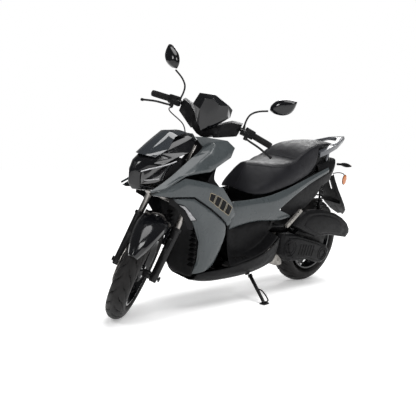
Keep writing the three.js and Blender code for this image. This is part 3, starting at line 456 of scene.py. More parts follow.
def tube(name, points, radius, finish_name, body, sides=8, cyclic=False):
    """A round rod through frame points; radius in millimetres."""
    deselect()
    curve = bpy.data.curves.new(name, "CURVE")
    curve.dimensions = "3D"
    curve.bevel_depth = radius * MM
    curve.bevel_resolution = max(1, sides // 4)
    curve.use_fill_caps = True
    curve.resolution_u = 6
    spline = curve.splines.new("NURBS")
    spline.points.add(len(points) - 1)
    for target, point in zip(spline.points, points):
        target.co = (*point, 1)
    spline.use_endpoint_u = not cyclic
    spline.use_cyclic_u = cyclic
    spline.order_u = 4
    take(added(name, curve))
    bpy.ops.object.convert(target="MESH")
    piece = bpy.context.object
    outward(piece)
    return settle(piece, name, finish_name, body)


def turned_to(direction):
    """The rotation that carries +Z to a direction."""
    return Vector(direction).normalized().to_track_quat("Z", "Y").to_matrix().to_4x4()


# A bolt's sizes, as shares of its radius.
BOLT = {"height": 0.9, "rim": 0.42, "socket": 0.5, "flange": 1.45, "plate": 0.3, "edge": 0.1}


def bolt(name, matrix, centre, direction, radius, body, finish_name="steel"):
    """A flanged hex bolt head with a socket, facing along direction."""
    height, rim, socket, flange, plate = (
        BOLT[size] * radius * MM for size in ("height", "rim", "socket", "flange", "plate"))
    deselect()
    bpy.ops.mesh.primitive_cylinder_add(vertices=6, radius=radius * MM, depth=height)
    head = bpy.context.object
    bpy.ops.object.mode_set(mode="EDIT")
    bpy.ops.mesh.select_all(action="DESELECT")
    bpy.ops.object.mode_set(mode="OBJECT")
    for face in head.data.polygons:
        face.select = face.normal.z > 0.9
    bpy.ops.object.mode_set(mode="EDIT")
    bpy.ops.mesh.inset(thickness=rim)
    bpy.ops.mesh.extrude_region_move(TRANSFORM_OT_translate={"value": (0, 0, -socket)})
    bpy.ops.object.mode_set(mode="OBJECT")
    bpy.ops.mesh.primitive_cylinder_add(vertices=20, radius=flange, depth=plate, location=(0, 0, -socket))
    head.select_set(True)
    bpy.context.view_layer.objects.active = head
    bpy.ops.object.join()
    rounded(head, radius * BOLT["edge"])
    apply_all(head)
    facing = turned_to((matrix.to_3x3() @ Vector(direction)).normalized())
    head.matrix_world = Matrix.Translation(placed(matrix, centre)) @ facing
    return settle(head, name, finish_name, body)


def lofted(name, matrix, loops, finish_name, body, edge=0.8):
    """A closed solid through loops of points, with its hard edges rounded."""
    count = len(loops[0])
    points = [placed(matrix, point) for loop in loops for point in loop]
    faces = [tuple(range(count)), tuple(range(len(points) - count, len(points)))]
    for start in range(0, len(points) - count, count):
        faces += [(start + i, start + (i + 1) % count, start + count + (i + 1) % count, start + count + i)
                  for i in range(count)]
    mesh = bpy.data.meshes.new(name)
    mesh.from_pydata(points, [], faces)
    piece = added(name, mesh)
    outward(piece)
    rounded(piece, edge, 2)
    return settle(piece, name, finish_name, body, smooth=35)


def boxed(stations):
    """Square loops across the scooter, from stations of (along, half width, low, high)."""
    return [[(-wide, y, low), (wide, y, low), (wide, y, high), (-wide, y, high)]
            for y, wide, low, high in stations]


def slab(name, matrix, outline, near, far, finish_name, body, edge=0.8):
    """A flat plate: an outline of (along, up) pairs drawn between two places across the scooter."""
    loops = [[(across, a, b) for a, b in outline] for across in (near, far)]
    return lofted(name, matrix, loops, finish_name, body, edge)


def about(outline, middle, share):
    """An outline shrunk towards its middle."""
    return [(middle[0] + (a - middle[0]) * share, middle[1] + (b - middle[1]) * share) for a, b in outline]


def near_path(point, path):
    """Distance in metres from a point to a run of straight stretches."""
    best = math.inf
    for a, b in zip(path, path[1:]):
        run = b - a
        t = max(0.0, min(1.0, (point - a).dot(run) / run.length_squared))
        best = min(best, (a + run * t - point).length)
    return best


def paint_near(piece, path, reach, finish_name):
    """Faces near a path take a second finish."""
    piece.data.materials.append(finish(finish_name))
    index = len(piece.data.materials) - 1
    for face in piece.data.polygons:
        if near_path(face.center, path) < reach * MM:
            face.material_index = index


def on_surface(piece, point, lift=0.0):
    """The nearest place on a piece's surface, raised by lift millimetres."""
    hit, where, normal, _ = piece.closest_point_on_mesh(Vector(point))
    return where + normal * lift * MM if hit else Vector(point)


SIDES = (("left", 1), ("right", -1))


# ---- Painted body ----
APRON_GROOVE = ((114, -682, 651), (138, -598, 643), (146, -530, 643), (152, -463, 640),
                (157, -353, 581), (158, -278, 530), (157, -238, 499), (155, -224, 478))
APRON_LINER = ((-600, 640), (-600, 612), (-556, 590), (-520, 556), (-492, 520), (-462, 476), (-432, 470),
               (-436, 520), (-446, 560), (-440, 636), (-520, 644))
LINER_ACROSS = (134.6, 136.8)


def make_painted_body(sizes):
    """Aprons with their black groove, shoulders, side bodies and the slanted bars."""
    for label, side in SIDES:
        apron = moulded(f"apron_{label}", crease=10, hold=1.0)
        paint_near(apron, laid(APRON_GROOVE, side), sizes.groove_width, "gloss_black")
        moulded(f"shoulder_{label}", crease=10, hold=1.0)
        moulded(f"side_body_{label}", crease=20, hold=0.95)
        make_bars(apron, label, side)
        make_corner_lamp(apron, label, side)
        low, high = sorted(side * x for x in LINER_ACROSS)
        slab(f"apron_liner_{label}", UPRIGHT, APRON_LINER, low, high, "black_plastic", "chassis", edge=0.3)


BARS_TOP = ((-377, 664), (-318, 645), (-264, 618), (-202, 576))
BARS_FOOT = ((-379, 632), (-331, 600), (-280, 568), (-226, 538))
BARS_ACROSS = 178
BAR_COUNT = 4
BAR_GAP = 0.03                      # share of the row left clear at each end of a bar
EDGE_GROW = 0.014                   # share by which the gold edge stands out along the row
BAR_ROW = 180                       # the row's length, millimetres


def along(line, share):
    """A place part of the way along a line of evenly shared stretches."""
    reach = share * (len(line) - 1)
    start = min(int(reach), len(line) - 2)
    return Vector(line[start]).lerp(Vector(line[start + 1]), reach - start)


def make_bars(apron, label, side):
    """Slanted bars in black film with a gold edge, laid on the apron above the groove."""
    for index in range(BAR_COUNT):
        for tag, grow, lift, coat in (("edge", EDGE_GROW, 0.7, "graphic_gold"),
                                      ("bar", 0, 1.1, "black_plastic")):
            start = index / BAR_COUNT + BAR_GAP - grow
            end = (index + 1) / BAR_COUNT - BAR_GAP + grow
            rise = (along(BARS_TOP, start) - along(BARS_FOOT, start)).normalized() * grow * BAR_ROW
            outline = [along(BARS_FOOT, start) - rise, along(BARS_FOOT, end) - rise,
                       along(BARS_TOP, end) + rise, along(BARS_TOP, start) + rise]
            corners = [(side * BARS_ACROSS, *corner) for corner in outline]
            lay_film(f"{tag}_{label}_{index}", apron, corners, 7, lift, 0.3, coat)


CORNER_LAMP = ((138, -539, 606), (151, -514, 600), (156, -438, 530), (138, -452, 524))


def make_corner_lamp(apron, label, side):
    """The slim indicator lens on the apron's front edge, in a black surround."""
    for tag, grow, lift, coat, slot in (("surround", 1.16, 0.8, "gloss_black", "gloss_black"),
                                        ("lens", 1.0, 2.6, "blade", "lens")):
        middle = sum((Vector(c) for c in CORNER_LAMP), Vector()) / len(CORNER_LAMP)
        corners = [mirrored(middle + (Vector(c) - middle) * grow, side) for c in CORNER_LAMP]
        lay_film(f"corner_{tag}_{label}", apron, corners, 5, lift, 1.6, coat)


PLANE_ORDER = (0, 1, 3, 2)          # a plane's vertices taken round its edge


def lay_film(name, surface, corners, cuts, lift, thickness, coat):
    """A film over four corners, shrunk on to a surface and lifted off it by so many millimetres."""
    deselect()
    bpy.ops.mesh.primitive_plane_add(size=1)
    film = bpy.context.object
    for vertex, corner in zip(film.data.vertices, PLANE_ORDER):
        vertex.co = placed(UPRIGHT, corners[corner])
    with editing(film):
        bpy.ops.mesh.subdivide(number_cuts=cuts)
    fit = film.modifiers.new("Fit", "SHRINKWRAP")
    fit.target = surface
    fit.wrap_mode = "ABOVE_SURFACE"
    fit.offset = lift * MM
    film.modifiers.new("Film", "SOLIDIFY").thickness = thickness * MM
    settle(film, name, coat, "chassis")


# ---- Nose and lamps ----
NOSE_BACKING = ((-650, 60, 700, 765), (-600, 96, 695, 790), (-515, 97, 705, 826))
UPPER_BLADE = ((46, -714, 755), (60, -698, 764), (78, -683, 774), (98, -662, 783), (112, -600, 799),
               (110, -560, 812))
LOWER_BLADE = ((60, -701, 716), (76, -686, 719), (92, -671, 723), (110, -654, 731))


def make_nose(sizes):
    """Nose cover, both lamps with their blades, and the smoked screen."""
    moulded("nose_cover", crease=12, hold=1.0)
    moulded("windscreen", crease=12, hold=1.0)
    machined("headlight_unit", "lens", edge=1.0)
    lofted("nose_backing", UPRIGHT, boxed(NOSE_BACKING), "black_plastic", "chassis", edge=2)
    for label, side in SIDES:
        for tag, line, radius in (("upper", UPPER_BLADE, sizes.blade), ("lower", LOWER_BLADE, 1.8)):
            tube(f"lamp_{tag}_{label}", laid(line, side), radius, "blade", "chassis")


# ---- Inner panels ----
LOUVRE = ((-404, 0), (-386, 14), (-382, 14), (-400, -2))
LOUVRE_ACROSS = (84, 126)
LOUVRE_FOOT, LOUVRE_PITCH = 268, 26
MAT_ACROSS = (122, 140, 160, 176)
MAT_FRONT, MAT_PITCH, MAT_HEIGHT, MAT_SLOPE = -120, 24, 292, 0.19
FLOOR_SEAL = ((146, -204, 262), (180, -190, 252), (181, -80, 268), (182, 30, 284), (180, 125, 330),
              (172, 184, 382))


def make_inner_panels(sizes):
    """Inner shield with its louvres, the floor, the belly, the store and the tank."""
    moulded("inner_shield", crease=26)
    moulded("floor_tunnel", crease=26)
    moulded("belly_pan", crease=18, hold=0.95)
    machined("storage_bin", edge=3)
    machined("fuel_tank", edge=14, steps=4)
    for label, side in SIDES:
        for index in range(sizes.louvres):
            foot = LOUVRE_FOOT + LOUVRE_PITCH * index
            outline = [(y, foot + z) for y, z in LOUVRE]
            low, high = sorted(side * x for x in LOUVRE_ACROSS)
            slab(f"louvre_{label}_{index}", UPRIGHT, outline, low, high, "black_plastic", "chassis")
        for index in range(sizes.mat_ribs):
            y = MAT_FRONT + MAT_PITCH * index
            rib = [(x, y, MAT_HEIGHT + MAT_SLOPE * max(0, y)) for x in MAT_ACROSS]
            tube(f"mat_rib_{label}_{index}", laid(rib, side), 2.2, "rubber", "chassis")
        tube(f"floor_seal_{label}", laid(FLOOR_SEAL, side), 6, "rubber", "chassis")


# ---- Tail ----
SEAT_BASE = ((300, 118, 655, 676), (345, 122, 672, 688), (420, 122, 700, 716), (518, 107, 731, 749),
             (556, 94, 745, 860), (640, 72, 766, 866), (740, 46, 790, 870))


INDICATOR_LENS = ((92, 851, 777), (120, 852, 777), (144, 849, 777))
PLATE_SCREW_HEIGHTS = (520, 544)
REFLECTOR_AT = (116, 846, 684)
RIM_STEPS = 16
REFLECTOR_ARM = ((62, 784, 716), (84, 800, 726), (104, 828, 728), (113, 842, 716), (114, 846, 700))


def make_tail(sizes):
    """Tail cover, lamp, grab rail, plate holder, indicators and the side reflector."""
    moulded("tail_cover", crease=16, hold=0.95)
    lofted("seat_base", UPRIGHT, boxed(SEAT_BASE), "black_plastic", "chassis", edge=3)
    machined("tail_light", edge=2.5)
    machined("grab_rail", edge=4, steps=3)
    machined("plate_holder", edge=2.0)
    for label, side in SIDES:
        moulded(f"rear_indicator_{label}", crease=60, hold=0.5)
        tube(f"indicator_lens_{label}", laid(INDICATOR_LENS, side), 6, "amber_lens", "chassis")
        make_side_reflector(label, side, sizes)
    for z in PLATE_SCREW_HEIGHTS:
        for side in (-1, 1):
            bolt(f"plate_screw_{side + 1}_{z}", UPRIGHT, (side * 52, 907, z), (0, 1, 0), 4, "chassis")


def make_side_reflector(label, side, sizes):
    """An oval amber reflector in a rim, on a bracket looped off the tail."""
    centre = Vector(mirrored(REFLECTOR_AT, side))
    deselect()
    bpy.ops.mesh.primitive_uv_sphere_add(segments=32, ring_count=16, radius=1)
    oval = bpy.context.object
    oval.scale = (5 * MM, sizes.reflector * 0.34 * MM, sizes.reflector * 0.5 * MM)
    bpy.ops.object.transform_apply(scale=True)
    oval.matrix_world = Matrix.Translation(placed(UPRIGHT, centre)) @ Matrix.Rotation(LEAN, 4, "Y")
    settle(oval, f"reflector_{label}", "amber_lens", "chassis")
    long, high = sizes.reflector * 0.35, sizes.reflector * 0.52
    turns = [math.tau * step / RIM_STEPS for step in range(RIM_STEPS)]
    ring = [centre + Vector((-side * 2, long * math.cos(turn), high * math.sin(turn))) for turn in turns]
    tube(f"reflector_rim_{label}", laid(ring), 2.2, "black_plastic", "chassis", cyclic=True)
    tube(f"reflector_arm_{label}", laid(REFLECTOR_ARM, side), 3.4, "black_plastic", "chassis")


# ---- Frame and fork ----
CALIPER_BOLT_HEIGHTS = (74, 110)


def make_frame(_sizes):
    """Main frame, fork stem and legs, front mudguard, axle and brake caliper."""
    moulded("main_frame", crease=52, levels=1)
    moulded("steering_stem", crease=52, levels=1)
    for label, side in SIDES:
        moulded(f"slider_{label}", crease=46, levels=2, hold=0.9)
        bolt(f"fork_pinch_{label}", FORK, (side * 117.5, -31, 14), (side, 0, 0), 4.5, "fork_lower")
    moulded("front_mudguard", crease=20, hold=0.95)
    machined("front_axle", "frame_black", edge=1)
    machined("front_caliper", edge=3, steps=3)
    for z in CALIPER_BOLT_HEIGHTS:
        bolt(f"caliper_bolt_{z}", FORK, (-103, 12, z), (-1, 0, 0), 5.5, "fork_lower")


# ---- Wheels ----
FRONT_AXLE = (0, -675, 265)
REAR_AXLE = (0, 675, 274)
BEAD = 181
WAIST = BEAD + 34                   # where a tyre is widest
SECTION_STEPS = 88
TREAD_PITCHES = 24
TREAD_EDGE = 4                      # millimetres above the waist where the tread may start
WALL_DRAW = 16                      # millimetres by which each wall draws in at the bead
PAINTED_SHADE_SHARE = 0.45                   # of the tread's depth, past which a groove's faces take a painted shade
FULL_LEAN = 62                      # degrees from the crown to the tread's shoulder
GROOVES = ((0.0, 0.07, 1.1, 1.0), (0.5, 0.34, 0.95, 0.8))    # pitch offset, start, end, width


def make_tyre(node, axle, matrix, radius, half, sizes):
    """A tyre with curved grooves sweeping from its crown to its shoulders."""
    deselect()
    bpy.ops.mesh.primitive_torus_add(
        major_segments=sizes.tread_steps, minor_segments=SECTION_STEPS, major_radius=WAIST * MM,
        minor_radius=20 * MM, rotation=(0, math.pi / 2, 0))
    carcass = bpy.context.object
    bpy.ops.object.transform_apply(rotation=True)
    step = math.tau / TREAD_PITCHES
    painted_shade_vertices = set()
    for vertex in carcass.data.vertices:
        turn = math.atan2(vertex.co.y, vertex.co.z)
        reach = math.hypot(vertex.co.y, vertex.co.z) - WAIST * MM
        around = math.atan2(reach, vertex.co.x)
        across, rise = section(around, half, radius - WAIST, WAIST - BEAD)
        lean = math.degrees(around) - 90
        depth = groove_depth(turn, lean, step, radius, sizes) if rise > TREAD_EDGE else 0
        # Vertices deep in a groove are kept for the painted shade.
        if depth > PAINTED_SHADE_SHARE * sizes.tread_depth:
            painted_shade_vertices.add(vertex.index)
        out = (WAIST + rise - depth * math.sin(around)) * MM
        vertex.co = ((across - depth * math.cos(around)) * MM, out * math.sin(turn), out * math.cos(turn))
    lift = matrix @ Matrix.Translation(axle) @ Matrix.Scale(1 / MM, 4)
    carcass.data.transform(lift)
    stand_in(carcass, node, smooth=60)
    # Faces deep in the grooves take darker rubber: a painted shade in the recesses.
    carcass.data.materials.append(finish("groove"))
    for face in carcass.data.polygons:
        if painted_shade_vertices.issuperset(face.vertices):
            face.material_index = 1


def section(around, half, crown, wall):
    """Where the tyre's skin is, across and up from its widest point, in millimetres."""
    up = math.sin(around)
    side = math.cos(around)
    if up >= 0:
        return half * side, crown * up
    return (half - WALL_DRAW * up * up) * side, -wall * abs(up) ** 0.8


def groove_depth(turn, lean, step, radius, sizes):
    """Depth of the tread here: long swept grooves on each side, with short ones between them."""
    slope = abs(lean) / FULL_LEAN
    shift = 0.5 if lean > 0 else 0.0
    depth = 0.0
    for offset, start, end, width in GROOVES:
        if not start < slope < end:
            continue
        sweep = 1.9 * (slope - start) ** 1.25 + 0.22 * math.sin(slope * 5.5)
        phase = turn / step + sweep + offset + shift
        gap = (phase - round(phase)) * step * radius
        fade = min(1.0, (slope - start) * 9, (end - slope) * 7)
        near = max(0.0, 1 - (abs(gap) / (sizes.tread_width * width)) ** 3)
        depth = max(depth, sizes.tread_depth * near * fade)
    return depth


VALVE = ((18, 30, -152), (22, 27, -140), (30, 25, -130))


def make_wheels(sizes):
    """Both tyres and rims, the front brake disc and the tyre valves."""
    make_tyre("front_tyre", FRONT_AXLE, STEERED, radius=265, half=47, sizes=sizes)
    make_tyre("rear_tyre", REAR_AXLE, UPRIGHT, radius=274, half=66, sizes=sizes)
    machined("front_rim", edge=2.4, steps=3)
    machined("rear_rim", edge=2.4, steps=3)
    machined("front_disc", edge=0.6)
    make_disc_holes()
    for name, matrix, axle in (("front", STEERED, FRONT_AXLE), ("rear", UPRIGHT, REAR_AXLE)):
        stem = [placed(matrix, Vector(axle) + Vector(point)) for point in VALVE]
        tube(f"{name}_valve", stem, 4, "rubber", f"{name}_wheel")


HOLE_RINGS = (62, 78, 94)
HOLES = 12
HOLE_SWEEP = 0.28                   # of a hole's pitch, from one ring to the next
DISC_FACE = -76.2


def make_disc_holes():
    """Drilled dimples round the brake disc, in a swept pattern."""
    _, y, z = FRONT_AXLE
    for ring, reach in enumerate(HOLE_RINGS):
        for index in range(HOLES):
            angle = math.tau * (index + ring * HOLE_SWEEP) / HOLES
            centre = placed(STEERED, (DISC_FACE, y + reach * math.sin(angle), z + reach * math.cos(angle)))
            deselect()
            bpy.ops.mesh.primitive_cylinder_add(vertices=14, radius=4 * MM, depth=0.5 * MM)
            hole = bpy.context.object
            hole.matrix_world = Matrix.Translation(centre) @ turned_to(STEERED.to_3x3() @ Vector((1, 0, 0)))
            rounded(hole, 0.1)
            settle(hole, f"disc_hole_{ring}_{index}", "frame_black", "front_wheel")


# ---- Handlebar and controls ----
GRIP_IN = Vector((244, -190, 1007))
GRIP_OUT = Vector((349, -160, 989))
RIGHT_MIRROR_TOE = -36              # degrees


def grip_point(side, reach):
    """A place on a grip's axis, so many millimetres outboard of its inner end."""
    point = GRIP_IN + (GRIP_OUT - GRIP_IN).normalized() * reach
    return placed(STEERED, mirrored(point, side))


def make_controls(sizes):
    """Bars, ribbed grips, switches, levers, covers, clock, mirrors and the brake hose."""
    moulded("handlebar", crease=56, levels=1)
    hose = moulded("brake_hose", crease=56, levels=1)
    take(hose)
    bpy.ops.object.parent_clear(type="CLEAR_KEEP_TRANSFORM")
    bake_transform(hose)
    for node in ("left_switch", "right_switch"):
        machined(node, edge=2.4, steps=3)
    for node in ("horn_button", "turn_switch", "start_button"):
        machined(node, edge=1.2, steps=3)
    moulded("bar_cover", crease=24, levels=1)
    machined("dash", edge=5, steps=4, limit=16)
    for label, side in SIDES:
        moulded(f"mirror_stalk_{label}", "frame_black", crease=56, levels=2)
        moulded(f"lever_{label}", crease=60, levels=2)
        moulded(f"mirror_{label}", "gloss_black", crease=58, levels=2, hold=0.7)
    for node, side, body in (("left_grip", 1, "steering"), ("throttle_grip", -1, "throttle")):
        machined(node, edge=2.2, steps=3)
        make_grip_ribs(node, side, body, sizes)
    make_mirror_glass("left", 1, 0)
    make_mirror_glass("right", -1, RIGHT_MIRROR_TOE)
    make_clock()


RIBS_FROM, RIBS_RUN = 9, 88         # millimetres outboard of the grip's inner end
BAR_END = 104.5


def make_grip_ribs(node, side, body, sizes):
    """Rings round a grip, and the bar's end weight."""
    facing = turned_to(grip_point(side, 100) - grip_point(side, 0))
    for index in range(sizes.grip_ribs):
        reach = RIBS_FROM + RIBS_RUN * index / (sizes.grip_ribs - 1)
        deselect()
        bpy.ops.mesh.primitive_torus_add(
            major_segments=24, minor_segments=8, major_radius=16.3 * MM, minor_radius=1.3 * MM)
        ring = bpy.context.object
        ring.matrix_world = Matrix.Translation(grip_point(side, reach)) @ facing
        settle(ring, f"{node}_rib_{index}", "rubber", body)
    deselect()
    bpy.ops.mesh.primitive_cylinder_add(vertices=28, radius=16.8 * MM, depth=9 * MM)
    weight = bpy.context.object
    rounded(weight, 3, 4)
    apply_all(weight)
    weight.matrix_world = Matrix.Translation(grip_point(side, BAR_END)) @ facing
    settle(weight, f"{node}_end", "frame_black", body)


MIRROR_BALL = (262, -221, 1162)
MIRROR_MIDDLE = (322, 1210)
MIRROR_SHARE = 0.91                 # of the head's outline that is glass
MIRROR_OUTLINE = ((268, 1168), (300, 1160), (338, 1166), (372, 1192), (381, 1222), (378, 1262),
                  (352, 1262), (310, 1247), (280, 1228), (262, 1196))
CLOCK_OUTLINE = ((-66, 1032), (66, 1032), (76, 1094), (-76, 1094))
CLOCK_LEAN = 0.02


def sheet(name, points, thickness, offset=-1):
    """A flat plate so many millimetres thick, over an outline of frame points."""
    deselect()
    mesh = bpy.data.meshes.new(name)
    mesh.from_pydata(points, [], [tuple(range(len(points)))])
    plate = added(name, mesh)
    wall = plate.modifiers.new("Wall", "SOLIDIFY")
    wall.thickness = thickness * MM
    wall.offset = offset
    apply_all(plate)
    outward(plate)
    return plate


def make_mirror_glass(label, side, toe):
    """The silvered glass in its recess."""
    ball = Vector(mirrored(MIRROR_BALL, side))
    turn = (STEERED @ Matrix.Translation(ball) @ Matrix.Rotation(math.radians(toe), 4, "Z")
            @ Matrix.Translation(-ball))
    outline = about(MIRROR_OUTLINE, MIRROR_MIDDLE, MIRROR_SHARE)
    points = [placed(turn, (side * x, -210, z)) for x, z in outline]
    glass = sheet(f"mirror_glass_{label}", points, 1.6, offset=0)
    settle(glass, f"mirror_glass_{label}", "mirror_glass", f"mirror_head_{label}")


def make_clock():
    """The display set in the rider's side of the dash."""
    foot = CLOCK_OUTLINE[0][1]
    points = [placed(STEERED, (x, -297 + (z - foot) * CLOCK_LEAN, z)) for x, z in CLOCK_OUTLINE]
    face = sheet("clock_face", points, 2)
    rounded(face, 6, 3)
    settle(face, "clock_face", "smoke", "steering")


# ---- Engine ----
CVT_OUTLINE = ((226, 359), (233, 396), (330, 384), (424, 362), (530, 332), (634, 304), (706, 272),
               (739, 238), (718, 184), (668, 158), (600, 174), (529, 200), (430, 206), (319, 214),
               (258, 262), (236, 318))
AIR_BOX_OUTLINE = ((312, 440), (346, 492), (395, 518), (480, 521), (564, 516), (640, 502), (718, 484),
                   (800, 450), (858, 414), (896, 372), (902, 344), (872, 314), (780, 330), (666, 350),
                   (600, 350),
                   (541, 350), (470, 374), (390, 405))
BRACKET_OUTLINE = ((400, 372), (440, 392), (541, 358), (666, 358), (720, 345), (706, 276), (634, 304),
                   (530, 332), (424, 362))
SHROUD = ((252, 60, 384, 440), (290, 78, 374, 466), (370, 78, 372, 468), (396, 66, 380, 452))
CASTING_BACK = 340
COVER_MIDDLE = (480, 284)
COVER_FACE = ((168, 0.74), (174, 0.72), (177, 0.66))          # (across, share of the outline)
AIR_BOX_MIDDLE = (606, 424)
AIR_BOX_FACE = ((188, 0.72), (194, 0.70), (199, 0.56))
AIR_BOX_SCREWS = ((352, 456), (492, 500), (640, 484), (790, 434), (866, 352), (640, 366))
BOSSES = (((318, 300), 52), ((640, 232), 44))
BOSS_ACROSS = 176.5
COVER_RIB_FOOT = Vector((177, 400, 250))
COVER_RIB_PITCH = Vector((0, 26, -4))
COVER_RIB_STEP = Vector((0, 5, 22))


def make_engine(sizes):
    """Engine case, belt cover with bolts and ribs, air box and exhaust."""
    case = moulded("engine_case", "frame_black", crease=34, levels=1)
    case.data.materials.append(finish("alloy"))
    to_upright = UPRIGHT.inverted()
    for face in case.data.polygons:
        if (to_upright @ face.center).y < CASTING_BACK:
            face.material_index = 1
    machined("cvt_cover", edge=3, steps=3, limit=14)
    machined("air_box", edge=4, steps=3, limit=14)
    moulded("exhaust", crease=48, levels=2)
    for name, outline, middle, rings in (
            ("cover_face", CVT_OUTLINE, COVER_MIDDLE, COVER_FACE),
            ("air_box_face", AIR_BOX_OUTLINE, AIR_BOX_MIDDLE, AIR_BOX_FACE)):
        loops = [[(x, a, b) for a, b in about(outline, middle, share)] for x, share in rings]
        lofted(name, UPRIGHT, loops, "black_plastic", "swing_unit", edge=1.2)
    slab("air_box_bracket", UPRIGHT, BRACKET_OUTLINE, 119, 126, "black_plastic", "swing_unit")
    lofted("engine_shroud", UPRIGHT, boxed(SHROUD), "black_plastic", "swing_unit", edge=6)
    for index, (y, z) in enumerate(about(CVT_OUTLINE[1::2], COVER_MIDDLE, 0.91)):
        bolt(f"cover_bolt_{index}", UPRIGHT, (163, y, z), (1, 0, 0), 5, "swing_unit", "frame_black")
    for (y, z), reach in BOSSES:
        for share in (1.0, 0.62):
            ring = [(BOSS_ACROSS, y + reach * share * math.cos(math.tau * k / RIM_STEPS),
                     z + reach * share * math.sin(math.tau * k / RIM_STEPS)) for k in range(RIM_STEPS)]
            tube(f"cover_ring_{y}_{share}", laid(ring), 3, "black_plastic", "swing_unit", cyclic=True)
    for index in range(sizes.cover_ribs):
        foot = COVER_RIB_FOOT + index * COVER_RIB_PITCH
        rib = [foot + k * COVER_RIB_STEP for k in range(4)]
        tube(f"cover_rib_{index}", laid(rib), 2.6, "black_plastic", "swing_unit")
    for index, (y, z) in enumerate(AIR_BOX_SCREWS):
        bolt(f"air_box_screw_{index}", UPRIGHT, (188, y, z), (1, 0, 0), 4.2, "swing_unit", "frame_black")


# ---- Suspension, stand and pegs ----
PEG_TREADS = 4
PEG_TREAD_AT = Vector((199, 252, 470))
PEG_TREAD_PITCH = Vector((0, 22, 17.5))


def make_chassis_parts(sizes):
    """Rear shock with its coil, side stand with its spring, and the passenger's pegs."""
    moulded("shock_upper", crease=48, levels=1)
    moulded("shock_lower", crease=48, levels=1)
    make_coil(sizes)
    moulded("side_stand", crease=50, levels=2, hold=0.9)
    for label, side in SIDES:
        machined(f"peg_{label}", edge=2.5, steps=3)
        for index in range(PEG_TREADS):
            line = [PEG_TREAD_AT + index * PEG_TREAD_PITCH + Vector((-5 * k, 0, 0)) for k in range(3)]
            tube(f"peg_tread_{label}_{index}", laid(line, side), 2, "rubber", f"footpeg_{label}")


COIL_TOP = Vector((96, 616, 704))
COIL_FOOT = Vector((96, 664, 352))
COIL_FROM, COIL_RUN = 0.155, 0.63   # shares of the way from top to foot
COIL_RADIUS, COIL_WIRE = 18.4, 4.4
COIL_STEPS = 14                     # points in one turn


def make_coil(sizes):
    """The wound spring, in place of its plain sleeve."""
    run = (COIL_FOOT - COIL_TOP).normalized()
    across = Vector((1, 0, 0))
    back = run.cross(across)
    steps = sizes.coil_turns * COIL_STEPS
    points = []
    for step in range(steps + 1):
        angle = math.tau * step / COIL_STEPS
        centre = COIL_TOP.lerp(COIL_FOOT, COIL_FROM + COIL_RUN * step / steps)
        points.append(centre + (across * math.cos(angle) + back * math.sin(angle)) * COIL_RADIUS)
    coil = tube("shock_coil", laid(points), COIL_WIRE, "frame_black", "shock_body", sides=12)
    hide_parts("shock_spring")
    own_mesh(coil)


# ---- Seat ----
SEAT_EDGE = ((0, -78, 658), (36, -78, 658), (34, -40, 716), (28, 4, 780), (46, 32, 784), (64, 72, 786),
             (98, 124, 788), (130, 182, 788), (140, 284, 800), (136, 342, 842), (128, 430, 884),
             (110, 526, 900), (96, 552, 904), (78, 644, 908), (58, 742, 904), (24, 790, 899))
SEAT_STEP = ((2, 300, 820), (50, 300, 822), (98, 308, 820), (132, 330, 800), (146, 372, 780))


def make_seat(sizes):
    """The padded two-level seat with its piping and the seam across its step."""
    pad = moulded("seat", crease=62, levels=3, hold=0.6)
    for label, side in SIDES:
        edge = [on_surface(pad, p, 0.2) for p in laid(SEAT_EDGE, side)]
        piping = [on_surface(pad, p, 0.2) for p in smooth_run(edge, 8)]
        tube(f"seat_piping_{label}", piping, sizes.piping, "vinyl", "seat_lid")
        seam = [on_surface(pad, p, 0.1) for p in smooth_run(laid(SEAT_STEP, side), 6)]
        tube(f"seat_step_seam_{label}", seam, sizes.piping * 0.7, "vinyl", "seat_lid")


def smooth_run(points, cuts):
    """A curve through every point, with so many steps between each pair."""
    run = []
    for i in range(len(points) - 1):
        before = points[max(0, i - 1)]
        start = points[i]
        end = points[i + 1]
        after = points[min(len(points) - 1, i + 2)]
        for k in range(cuts):
            t = k / cuts
            run.append(0.5 * (2 * start + (end - before) * t
                              + (2 * before - 5 * start + 4 * end - after) * t * t
                              + (3 * start - before - 3 * end + after) * t ** 3))
    return run + [points[-1]]


# ---- Stage ----
CAMERA_AT = Vector((2364, -2306, 814))
CAMERA_LOOK = Vector((-0.7335, 0.6735, -0.0914))
LENS, SENSOR = 50, 36
FLOOR_SIZE = 60                     # metres
SUN_STRENGTH = 2.1
SUN_SPREAD = 45
FILL_STRENGTH = 0.42
SHEEN_STRENGTH = 0.13
FLOOR_GLOW = 0.3
SUN_HEADING = Vector((-0.3, -0.12, -1))
LIGHTS_AIM = Vector((0, 0, 0.5))
LIGHTS = (("key", (0.6, -3.4, 2.6), 1.1, 46), ("side", (4.0, -0.2, 3.0), 1.3, 50),
          ("back", (-2.0, 3.0, 3.2), 1.6, 60))    # name, place, size, watts


def aimed(heading):
    """The turn that points a light along a heading."""
    return heading.to_track_quat("-Z", "Y").to_euler()


